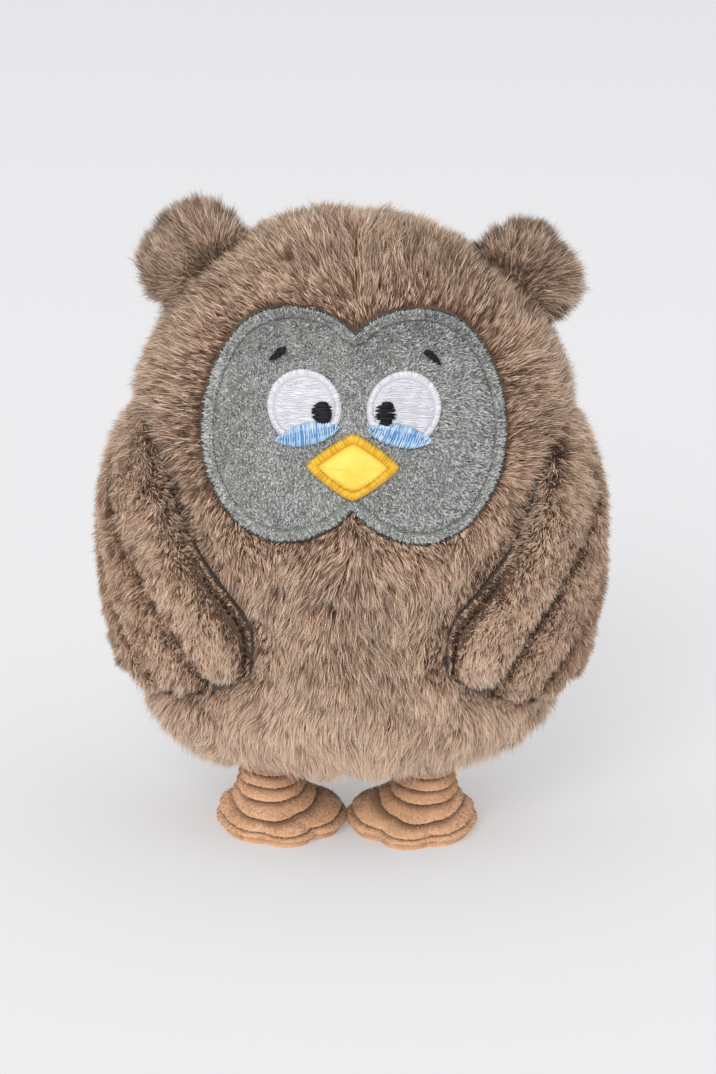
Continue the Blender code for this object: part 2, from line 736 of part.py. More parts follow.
def rib_rings(side):
    """Return the cover's outer rings, two to a rib: a crest and the valley above it."""
    rings = []
    top = 1 - HIP_TAPER_SHARE
    for low, high in zip(RIB_LEVEL_SHARES, RIB_LEVEL_SHARES[1:]):
        rings.append(leg_ring(side, top * low))
        rings.append(leg_ring(side, top * (low + high) / 2, bulge=RIB_DEPTH))
    rings.append(leg_ring(side, top))
    rings.append(leg_ring(side, 1 - HIP_TAPER_SHARE / 2))
    rings.append(leg_ring(side, 1))
    return rings


def make_leg(name, side, finishes):
    """Make a leg's ribbed cover, its stuffing and the flat sole under both, which swing at the hip."""
    hip = hip_place(side)
    pivot = make_pivot(f"leg_{name}_hinge", hip)
    outer = rib_rings(side)
    inner = [leg_ring(side, up, inset=LEG_COVER_THICKNESS) for up in LEG_FILLING_SHARES]
    roof = sum(inner[0], Vector()) / LEG_POINTS
    cover = loft([*outer, [hip]][::-1] + inner[::-1] + [[roof]])
    finish_object(f"leg_{name}_cover", cover, finishes["corduroy"], pivot)
    filling_inset = LEG_COVER_THICKNESS + SEAM_GAP
    filling = [leg_ring(side, up, inset=filling_inset) for up in LEG_FILLING_SHARES]
    crown = roof - Vector((0, 0, SEAM_GAP))
    filling[0] = [point - Vector((0, 0, SEAM_GAP)) for point in filling[0]]
    heel = Vector((hip.x, hip.y, SOLE_THICKNESS + SEAM_GAP))
    finish_object(f"leg_{name}_stuffing", loft([[crown], *filling, [heel]]), finishes["filling"], pivot)
    rim = [(point.x, point.y) for point in outer[0]]
    sole = pad(rim, (hip.x, hip.y), lambda x, y, z: Vector((x, y, z)), (
        (0, 0), (1, 0), (1, SOLE_THICKNESS), (0, SOLE_THICKNESS),
    ))
    finish_object(f"leg_{name}_sole", sole, finishes["corduroy"], pivot)


def make_pivot(name, place):
    """Return an empty on a joint's axis."""
    pivot = bpy.data.objects.new(name, None)
    pivot.location = place
    bpy.context.scene.collection.objects.link(pivot)
    return pivot


def make_finishes():
    """Return the materials by name."""
    return {
        "fur": new_material("taupe_fur", (0.30, 0.205, 0.15), 0.95),
        "filling": new_material("polyester_filling", (0.85, 0.85, 0.83), 0.95),
        "grey_plush": new_material("grey_plush", (0.22, 0.23, 0.22), 0.9),
        "grey_thread": new_material("grey_thread", (0.24, 0.26, 0.25), 0.6),
        "white_plush": new_material("white_plush", (0.82, 0.8, 0.84), 0.9),
        "white_thread": new_material("white_thread", (0.85, 0.84, 0.88), 0.55),
        "black_thread": new_material("black_thread", (0.01, 0.01, 0.01), 0.5),
        "blue_thread": new_material("blue_thread", (0.22, 0.46, 0.75), 0.5),
        "gold_thread": new_material("gold_thread", (0.85, 0.48, 0.02), 0.5),
        "yellow_fabric": new_material("yellow_fabric", (0.95, 0.72, 0.08), 0.6),
        "corduroy": new_material("ribbed_corduroy", (0.68, 0.37, 0.2), 0.85),
        "lining": new_material("wing_lining", (0.32, 0.23, 0.17), 0.9),
    }


def main():
    """Build the owl."""
    for old in list(bpy.data.objects):
        bpy.data.objects.remove(old)
    finishes = make_finishes()
    make_body_panels(finishes["fur"])
    make_body_stuffing(finishes["filling"])
    make_face_mask(finishes["grey_plush"], finishes["grey_thread"])
    make_beak(finishes)
    for name, side in PANEL_SIDES.items():
        make_eye(name, side, finishes)
        make_ear(name, side, finishes["fur"])
        make_wing(name, side, finishes["fur"], finishes["lining"])
        make_leg(name, side, finishes)


main()
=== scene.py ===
"""Dressed model of a plush owl: a long-pile body, an embroidered face, quilted wings and ribbed legs.

Sizes are in metres, +X is the owl's left and -Y its front. The owl stands on its soles at z = 0.
"""

from __future__ import annotations

import logging
import math
from dataclasses import dataclass, field
from enum import Enum
from itertools import product
from typing import Callable, Sequence

import bmesh
import bpy
import numpy as np
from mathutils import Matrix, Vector
from mathutils.kdtree import KDTree

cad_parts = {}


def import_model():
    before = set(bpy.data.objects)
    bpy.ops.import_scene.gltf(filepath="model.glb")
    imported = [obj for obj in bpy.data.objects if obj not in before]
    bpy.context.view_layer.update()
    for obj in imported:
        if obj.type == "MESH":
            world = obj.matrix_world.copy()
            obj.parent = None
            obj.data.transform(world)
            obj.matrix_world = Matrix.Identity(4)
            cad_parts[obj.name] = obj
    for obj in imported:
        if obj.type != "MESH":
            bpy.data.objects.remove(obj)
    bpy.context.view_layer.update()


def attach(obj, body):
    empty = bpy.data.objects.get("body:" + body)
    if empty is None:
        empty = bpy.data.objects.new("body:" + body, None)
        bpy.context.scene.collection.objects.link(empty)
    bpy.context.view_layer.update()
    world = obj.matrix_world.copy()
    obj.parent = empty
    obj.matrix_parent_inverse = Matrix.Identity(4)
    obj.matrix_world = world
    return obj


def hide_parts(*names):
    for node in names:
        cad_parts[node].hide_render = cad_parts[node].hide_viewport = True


log = logging.getLogger("owl")

Array = np.ndarray
Outline = np.ndarray
Place = Callable[[Array, Array], Array]
Mesh = bmesh.types.BMesh
Piece = bpy.types.Object
Material = bpy.types.Material
Socket = bpy.types.NodeSocket
Add = Callable[..., bpy.types.Node]


class Side(Enum):
    """The owl's own left and right, by the sign of X."""

    LEFT = 1
    RIGHT = -1

    @property
    def word(self) -> str:
        """Return the side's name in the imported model."""
        return self.name.lower()


# Shared arithmetic


def unit(vectors: Array) -> Array:
    """Return the vectors at length one."""
    return vectors / np.maximum(np.linalg.norm(vectors, axis=-1, keepdims=True), 1e-9)


def ease(values: Array, low: float, high: float) -> Array:
    """Return a smooth step of the values.

    Args:
        values: What is measured.
        low: The value at which the step leaves 0.
        high: The value at which it reaches 1.

    Returns:
        Shares from 0 to 1.
    """
    share = np.clip((values - low) / (high - low), 0, 1)
    return share * share * (3 - 2 * share)


def ripple(points: Array, size: float, seed: int) -> Array:
    """Return a smooth random field, about -1 to 1.

    Args:
        points: Where it is read, as rows of x, y and z.
        size: The usual width of a patch.
        seed: Chooses the field.

    Returns:
        One value a point.
    """
    rng = np.random.default_rng(seed)
    waves = rng.standard_normal((9, 3)) * (1.6 / size)
    phases = rng.uniform(0, 2 * math.pi, 9)
    return np.sin(points @ waves.T + phases).sum(axis=1) / 3.2


def linear(red: int, green: int, blue: int) -> tuple[float, float, float, float]:
    """Turn a display colour into a linear one with full alpha.

    Args:
        red: Its red, 0 to 255.
        green: Its green.
        blue: Its blue.

    Returns:
        Red, green, blue and alpha, 0 to 1.
    """
    parts = [c / 255 for c in (red, green, blue)]
    parts = [c / 12.92 if c <= 0.04045 else ((c + 0.055) / 1.055) ** 2.4 for c in parts]
    return (parts[0], parts[1], parts[2], 1.0)


def through(points: Sequence[tuple[float, float]], steps: int) -> Outline:
    """Return a smooth open curve through the points, its ends free.

    Args:
        points: The points in order.
        steps: How many parts each stretch is split into.

    Returns:
        The curve's points, one row each.
    """
    knots = np.array(points, float)
    padded = np.vstack([2 * knots[0] - knots[1], knots, 2 * knots[-1] - knots[-2]])
    share = (np.arange(steps) / steps)[:, None]
    parts = []
    for i in range(len(knots) - 1):
        a, b, c, d = padded[i : i + 4]
        curve = 2 * b + (c - a) * share + (2 * a - 5 * b + 4 * c - d) * share**2
        parts.append((curve + (3 * b - a - 3 * c + d) * share**3) / 2)
    return np.vstack([*parts, knots[-1:]])


def follow(at: Array, marks: Array, line: Array) -> Array:
    """Return points along a line.

    Args:
        at: Where they are, as values between the marks.
        marks: A value for each of the line's points, rising.
        line: The line's points.

    Returns:
        One row for each value.
    """
    return np.column_stack([np.interp(at, marks, column) for column in line.T])


def length_along(line: Array) -> Array:
    """Return the length of a line up to each of its points."""
    return np.concatenate([[0], np.cumsum(np.linalg.norm(np.diff(line, axis=0), axis=1))])


def slanted(degrees: float) -> tuple[Array, Array]:
    """Return the directions along and across a slanted line.

    Args:
        degrees: Its slant.

    Returns:
        Both directions, across and up.
    """
    slant = math.radians(degrees)
    cosine, sine = math.cos(slant), math.sin(slant)
    return np.array([cosine, sine]), np.array([-sine, cosine])


def closed(outline: Outline) -> Outline:
    """Return an outline with its first point again at its end."""
    return np.vstack([outline, outline[:1]])


def evenly(outline: Outline, count: int) -> Outline:
    """Return a closed outline as a number of points evenly spaced along it.

    Args:
        outline: The closed outline.
        count: How many points to place.

    Returns:
        The new points, the first where the outline's first is.
    """
    ring = closed(outline)
    run = length_along(ring)
    return follow(np.linspace(0, run[-1], count, endpoint=False), run, ring)


def drawn_in(outline: Outline, width: float) -> Outline:
    """Return a closed outline moved inwards.

    Args:
        outline: The closed outline, in either direction.
        width: How far it moves; below 0 it widens.

    Returns:
        As many points.
    """
    before = outline - np.roll(outline, 1, axis=0)
    after = np.roll(outline, -1, axis=0) - outline
    along = unit(unit(before) + unit(after))
    inward = np.column_stack([-along[:, 1], along[:, 0]])
    following = np.roll(outline, -1, axis=0)
    turns = (outline[:, 0] * following[:, 1] - following[:, 0] * outline[:, 1]).sum()
    return outline + inward * width * math.copysign(1, turns)


def within(points: Array, outline: Outline) -> Array:
    """Say which points lie inside a closed outline.

    Args:
        points: Rows of across and up.
        outline: The closed outline.

    Returns:
        True or False for each point.
    """
    inside = np.zeros(len(points), bool)
    for (x0, y0), (x1, y1) in zip(outline, np.roll(outline, -1, axis=0)):
        crosses = (y0 > points[:, 1]) != (y1 > points[:, 1])
        rise = y1 - y0 if y1 != y0 else 1e-12
        inside ^= crosses & (points[:, 0] < (x1 - x0) * (points[:, 1] - y0) / rise + x0)
    return inside


def nearest(points: Array, line: Outline, reach: float = 0.03) -> tuple[Array, Array]:
    """Return each point's distance to a closed line, and the way to its nearest place.

    Args:
        points: Rows of across and up.
        line: The line's points.
        reach: How far from the line's box it is looked for; points beyond it get this distance.

    Returns:
        The distances, and the steps to the nearest places.
    """
    close = np.all((points > line.min(axis=0) - reach) & (points < line.max(axis=0) + reach), axis=1)
    some = points[close]
    best = np.full(len(some), np.inf)
    steps = np.zeros((len(some), 2))
    for start, end in zip(line, np.roll(line, -1, axis=0)):
        stretch = end - start
        share = np.clip((some - start) @ stretch / max(stretch @ stretch, 1e-12), 0, 1)
        step = start + share[:, None] * stretch - some
        gap = np.hypot(step[:, 0], step[:, 1])
        nearer = gap < best
        best[nearer] = gap[nearer]
        steps[nearer] = step[nearer]
    gaps = np.full(len(points), reach)
    ways = np.zeros((len(points), 2))
    gaps[close], ways[close] = best, steps
    return gaps, ways


# Shared mesh making


def in_threes(items: bpy.types.bpy_prop_collection, key: str, kind: type = float) -> Array:
    """Read the three values that each item of a mesh has.

    Args:
        items: The mesh's vertices or triangles.
        key: What is read.
        kind: The values' type.

    Returns:
        One row an item.
    """
    values = np.empty(len(items) * 3, kind)
    items.foreach_get(key, values)
    return values.reshape(-1, 3)


def lay_grid(columns: int, rows: int, place: Place) -> Mesh:
    """Lay a grid on a surface and weld where its edges meet.

    Args:
        columns: Faces along the first coordinate.
        rows: Faces along the second.
        place: Gives the points for the two coordinates, each from 0 to 1.

    Returns:
        The grid as a bmesh.
    """
    bm = bmesh.new()
    bmesh.ops.create_grid(bm, x_segments=columns, y_segments=rows, size=0.5)
    flat = np.array([v.co[:] for v in bm.verts])
    for vert, point in zip(bm.verts, place(flat[:, 0] + 0.5, flat[:, 1] + 0.5)):
        vert.co = point
    bmesh.ops.remove_doubles(bm, verts=bm.verts, dist=2e-6)
    bmesh.ops.dissolve_degenerate(bm, dist=1e-7, edges=bm.edges)
    return bm


def on_ball(u: Array, v: Array) -> Array:
    """Return points of a ball whose radius is one.

    Args:
        u: Places round it.
        v: Places from its top to its bottom.

    Returns:
        Rows of x, y and z.
    """
    turn, polar = np.round(u, 6) * 2 * math.pi, np.round(v, 6) * math.pi
    girth = np.sin(polar)
    return np.column_stack([girth * np.sin(turn), girth * np.cos(turn), np.cos(polar)])


def face_out(bm: Mesh) -> None:
    """Turn a closed mesh's faces outwards.

    Args:
        bm: The mesh.
    """
    bmesh.ops.recalc_face_normals(bm, faces=bm.faces)
    if bm.calc_volume(signed=True) < 0:
        bmesh.ops.reverse_faces(bm, faces=bm.faces)


def close_up(bm: Mesh) -> None:
    """Close the mesh's open ends and turn its faces outwards."""
    bmesh.ops.holes_fill(bm, edges=[edge for edge in bm.edges if edge.is_boundary], sides=0)
    face_out(bm)


def finish_piece(name: str, bm: Mesh, finish: Material) -> Piece:
    """Turn a bmesh into a smooth piece with one finish.

    Args:
        name: The piece's name.
        bm: Its mesh, which is freed.
        finish: Its material.

    Returns:
        The object, linked to the scene.
    """
    mesh = bpy.data.meshes.new(name)
    bm.to_mesh(mesh)
    bm.free()
    mesh.shade_smooth()
    mesh.materials.append(finish)
    piece = bpy.data.objects.new(name, mesh)
    bpy.context.scene.collection.objects.link(piece)
    return piece


def settle(piece: Piece, body: str, nodes: Sequence[str] = ()) -> None:
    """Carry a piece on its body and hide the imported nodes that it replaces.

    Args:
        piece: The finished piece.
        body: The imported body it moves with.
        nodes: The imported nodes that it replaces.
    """
    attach(piece, body)
    if nodes:
        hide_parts(*nodes)
    log.info("%s: %d faces on %s", piece.name, len(piece.data.polygons), body)


def cut(
    name: str, bm: Mesh, finish: Material, body: str,
    nodes: Sequence[str],
) -> Piece:
    """Turn a bmesh into a piece with one finish and settle it.

    Args:
        name: The piece's name.
        bm: Its mesh, which is freed.
        finish: Its material.
        body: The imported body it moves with.
        nodes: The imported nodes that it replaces.

    Returns:
        The piece.
    """
    piece = finish_piece(name, bm, finish)
    settle(piece, body, nodes)
    return piece


# The stuffed body's form


@dataclass(frozen=True)
class BodyForm:
    """The stuffed body: round in plan, flattened front to back, widest below its middle."""

    half_width: float = 0.0698
    half_depth: float = 0.056
    height: float = 0.172
    floor_clearance: float = 0.020
    widest_share: float = 0.43
    upper_power: float = 2.2
    lower_power: float = 3.2
    face_share: float = 0.68
    seam_depth: float = 0.0022
    seam_width: float = 0.014
    pile: float = 0.0034

    @property
    def widest(self) -> float:
        """Return the height of the widest level."""
        return self.floor_clearance + self.height * self.widest_share

    @property
    def face_level(self) -> float:
        """Return the height of the face mask's middle."""
        return self.floor_clearance + self.height * self.face_share

    def girth(self, level: Array, proud: Array | float) -> Array:
        """Return the girth at heights, as a share of the widest.

        Args:
            level: The heights.
            proud: How far outside the form it is taken.

        Returns:
            One share a height.
        """
        above = level >= self.widest
        half = self.height * np.where(above, 1 - self.widest_share, self.widest_share) + proud
        power = np.where(above, self.upper_power, self.lower_power)
        return np.maximum(1 - (np.abs(level - self.widest) / half) ** power, 0) ** (1 / power)

    def side(self, turn: Array, level: Array, proud: Array | float) -> Array:
        """Return points off the form by their turn from the front and their height.

        Args:
            turn: Angles from the front, positive to the owl's left.
            level: Heights.
            proud: How far outside the form.

        Returns:
            Rows of x, y and z.
        """
        girth = self.girth(level, proud)
        across = (self.half_width + proud) * girth * np.sin(turn)
        return np.column_stack([across, -(self.half_depth + proud) * girth * np.cos(turn), level])

    def front(self, across: Array, up: Array, proud: Array | float) -> Array:
        """Return points off the form's front, measured from the middle of the face.

        Args:
            across: Distances to the owl's left.
            up: Distances upwards.
            proud: How far outside the form.

        Returns:
            Rows of x, y and z.
        """
        level = self.face_level + up
        reach = across / (self.half_width + proud)
        depth = np.sqrt(np.maximum(self.girth(level, proud) ** 2 - reach**2, 0))
        return np.column_stack([across, -(self.half_depth + proud) * depth, level])

    def round(self, turn: Array, polar: Array, proud: Array | float) -> Array:
        """Return points off the form by their turn from the front and their angle from the top.

        Args:
            turn: Angles from the front.
            polar: Angles from the top.
            proud: How far outside the form.

        Returns:
            Rows of x, y and z.
        """
        above = np.cos(polar) >= 0
        power = 2 / np.where(above, self.upper_power, self.lower_power)
        half = self.height * np.where(above, 1 - self.widest_share, self.widest_share)
        rise = np.sign(np.cos(polar)) * np.abs(np.cos(polar)) ** power
        girth = np.maximum(np.sin(polar), 0) ** power
        across = (self.half_width + proud) * girth * np.sin(turn)
        depth = -(self.half_depth + proud) * girth * np.cos(turn)
        return np.column_stack([across, depth, self.widest + (half + proud) * rise])

    def face_plan(self, points: Array) -> Array:
        """Return the places of points across and up from the middle of the face."""
        return np.column_stack([points[:, 0], points[:, 2] - self.face_level])

    def underside(self, across: Array, forward: Array) -> Array:
        """Return the height of the underside at places in plan.

        Args:
            across: Distances to the owl's left.
            forward: Distances forwards or backwards.

        Returns:
            One height a place.
        """
        girth = np.hypot(across / self.half_width, forward / self.half_depth)
        rise = (1 - girth**self.lower_power) ** (1 / self.lower_power)
        return self.widest - self.height * self.widest_share * rise


# Finishes


def plug(node: bpy.types.Node, inputs: dict) -> None:
    """Set or link a node's inputs.

    Args:
        node: The node.
        inputs: A value or another node's output for each input's name or number.
    """
    for key, value in inputs.items():
        if isinstance(value, Socket):
            node.id_data.links.new(value, node.inputs[key])
        else:
            node.inputs[key].default_value = value


def adder(tree: bpy.types.NodeTree) -> Add:
    """Return a function that adds nodes to a tree.

    Args:
        tree: The tree.

    Returns:
        The function.
    """

    def add(kind: str, inputs: dict | None = None, **settings: object) -> bpy.types.Node:
        """Add a node.

        Args:
            kind: Its type.
            inputs: What each input is set or linked to.
            settings: Its other settings.

        Returns:
            The node.
        """
        node = tree.nodes.new(kind)
        for key, value in settings.items():
            setattr(node, key, value)
        plug(node, inputs or {})
        return node

    return add


def begin(name: str) -> tuple[Material, bpy.types.Node, Add]:
    """Begin a material.

    Args:
        name: Its name.

    Returns:
        The material, its shader and a function that adds a node to it.
    """
    material = bpy.data.materials.new(name)
    material.use_nodes = True
    return material, material.node_tree.nodes["Principled BSDF"], adder(material.node_tree)


def ramp(add: Add, value: Socket, stops: Sequence) -> Socket:
    """Add a colour ramp.

    Args:
        add: Adds a node.
        value: What the ramp reads.
        stops: Pairs of a place and a colour.

    Returns:
        Its colour output.
    """
    node = add("ShaderNodeValToRGB", {"Fac": value})
    stripe = node.color_ramp
    while len(stripe.elements) < len(stops):
        stripe.elements.new(0.5)
    for element, (place, colour) in zip(stripe.elements, stops):
        element.position = place
        element.color = colour
    return node.outputs["Color"]


@dataclass(frozen=True)
class PileFinish:
    """Strands of pile, coloured from root to tip and from dark strands to light by their own map; the darker
    roots are painted shade deep in the pile, and the tone that picks dark or light strands holds random tone
    together with painted light and shade.
    """

    name: str
    dark: tuple
    light: tuple
    roughness: float = 0.75
    sheen: float = 0.25

    def make(self) -> Material:
        """Make the material.

        Returns:
            The material.
        """
        material, shader, add = begin(self.name)
        own = add("ShaderNodeUVMap", uv_map="OFBake")
        parts = add("ShaderNodeSeparateXYZ", {"Vector": own.outputs["UV"]})
        dark, light = (ramp(add, parts.outputs["Y"], stops) for stops in (self.dark, self.light))
        mixed = add("ShaderNodeMix", {0: parts.outputs["X"], 6: dark, 7: light}, data_type="RGBA")
        plug(shader, {
            "Base Color": mixed.outputs[2], "Roughness": self.roughness, "Specular IOR Level": 0.25,
            "Sheen Weight": self.sheen, "Sheen Roughness": 0.5, "Sheen Tint": (0.95, 0.88, 0.8, 1),
        })
        return material


@dataclass(frozen=True)
class ClothFinish:
    """Mottled cloth with a fine grain, whose folds are darkened by painted shade where its piece has a fold
    shading attribute.
    """

    name: str
    low: tuple
    high: tuple
    grain: float
    mottle: float
    relief: float = 0.4
    roughness: float = 0.85
    sheen: float = 0.2
    fold: tuple | None = None

    def make(self) -> Material:
        """Make the material.

        Returns:
            The material.
        """
        material, shader, add = begin(self.name)
        place = add("ShaderNodeTexCoord").outputs["Object"]
        fine, broad = (
            add("ShaderNodeTexNoise", {"Vector": place, "Scale": 1 / size, **more}).outputs["Fac"]
            for size, more in (
                (self.grain, {"Detail": 4.0, "Roughness": 0.65}), (self.mottle, {"Detail": 2.0}),
            )
        )
        joined = add("ShaderNodeMath", {0: fine, 1: broad}, operation="ADD")
        halved = add("ShaderNodeMath", {0: joined.outputs[0], 1: 0.5}, operation="MULTIPLY")
        colour = ramp(add, halved.outputs[0], ((0.36, self.low), (0.64, self.high)))
        # painted shade: the fold colour is mixed in where the piece's fold shading attribute is low
        if self.fold:
            crest = add("ShaderNodeAttribute", attribute_name="crest").outputs["Fac"]
            colour = add("ShaderNodeMix", {0: crest, 6: self.fold, 7: colour}, data_type="RGBA").outputs[2]
        bump = add("ShaderNodeBump", {"Height": fine, "Strength": self.relief, "Distance": self.grain / 3})
        plug(shader, {
            "Base Color": colour, "Normal": bump.outputs["Normal"], "Roughness": self.roughness,
            "Sheen Weight": self.sheen, "Specular IOR Level": 0.3,
        })
        return material


@dataclass(frozen=True)
class ThreadFinish:
    """Shiny embroidery thread, each stitch a little lighter or darker by its own tone attribute."""

    name: str
    low: tuple
    high: tuple
    roughness: float = 0.42
    sheen: float = 0.15
    gloss: float = 0.5

    def make(self) -> Material:
        """Make the material.

        Returns:
            The material.
        """
        material, shader, add = begin(self.name)
        tone = add("ShaderNodeAttribute", attribute_name="tone").outputs["Fac"]
        place = add("ShaderNodeTexCoord").outputs["Object"]
        fibre = add("ShaderNodeTexNoise", {"Vector": place, "Scale": 5200.0, "Detail": 2.0}).outputs["Fac"]
        bump = add("ShaderNodeBump", {"Height": fibre, "Strength": 0.25, "Distance": 0.0001})
        plug(shader, {
            "Base Color": ramp(add, tone, ((0.0, self.low), (1.0, self.high))),
            "Normal": bump.outputs["Normal"], "Roughness": self.roughness,
            "Specular IOR Level": self.gloss, "Sheen Weight": self.sheen,
        })
        return material


def once(finish: PileFinish | ClothFinish | ThreadFinish) -> Material:
    """Return a dataclass field that makes the finish's material."""
    return field(default_factory=finish.make)


@dataclass
class Finishes:
    """Every finish of the owl, made once."""

    taupe: Material = once(PileFinish(
        "taupe_pile",
        dark=((0.0, linear(32, 20, 14)), (0.45, linear(76, 51, 37)), (1.0, linear(112, 80, 60))),
        light=((0.0, linear(124, 92, 70)), (0.45, linear(228, 184, 152)), (1.0, linear(255, 237, 214))),
    ))
    backing: Material = once(ClothFinish(
        "taupe_backing", low=linear(70, 50, 39), high=linear(112, 88, 72), grain=0.0009, mottle=0.012
    ))
    grey_pile: Material = once(PileFinish(
        "grey_pile",
        dark=((0.0, linear(44, 45, 44)), (1.0, linear(86, 87, 85))),
        light=((0.0, linear(176, 177, 175)), (1.0, linear(252, 253, 250))),
        roughness=0.6,
    ))
    grey_plush: Material = once(ClothFinish(
        "grey_plush", low=linear(108, 109, 106), high=linear(156, 157, 154), grain=0.0008, mottle=0.010
    ))
    grey_thread: Material = once(ThreadFinish(
        "grey_thread", low=linear(136, 138, 136), high=linear(196, 198, 195)
    ))
    seam_thread: Material = once(ThreadFinish(
        "seam_thread", low=linear(38, 42, 40), high=linear(66, 70, 68)
    ))
    white_thread: Material = once(ThreadFinish(
        "white_thread", low=linear(207, 204, 211), high=linear(235, 233, 239)
    ))
    black_thread: Material = once(ThreadFinish(
        "black_thread", low=linear(6, 6, 9), high=linear(20, 20, 25), sheen=0.0, gloss=0.25
    ))
    # the lid's stitches vary in tone; the near-white lightest ones are painted highlights
    blue_thread: Material = once(ThreadFinish(
        "blue_thread", low=linear(84, 148, 202), high=linear(220, 237, 248)
    ))
    gold_thread: Material = once(ThreadFinish(
        "gold_thread", low=linear(214, 162, 18), high=linear(248, 206, 62)
    ))
    yellow_cloth: Material = once(ClothFinish(
        "yellow_cloth", low=linear(238, 200, 66), high=linear(248, 224, 106), grain=0.0005, mottle=0.006,
        relief=0.25, roughness=0.5,
    ))
    ribbed: Material = once(ClothFinish(
        "ribbed_cloth", low=linear(204, 152, 112), high=linear(246, 200, 160), grain=0.0006, mottle=0.008,
        relief=0.5,
    ))
    # The ribbed cloth again, with painted shade in the folds between the leg's rolls.
    rolled: Material = once(ClothFinish(
        "rolled_cloth", low=linear(206, 154, 114), high=linear(250, 206, 166), grain=0.0006, mottle=0.008,
        relief=0.5, fold=linear(84, 46, 26),
    ))
    velour: Material = once(PileFinish(
        "velour_pile",
        dark=((0.0, linear(62, 32, 17)), (1.0, linear(118, 70, 42))),
        light=((0.0, linear(226, 174, 132)), (1.0, linear(255, 226, 190))),
        roughness=0.65,
    ))
    brown_thread: Material = once(ThreadFinish(
        "brown_thread", low=linear(34, 18, 13), high=linear(60, 38, 29), sheen=0.0, gloss=0.15
    ))


# Pile


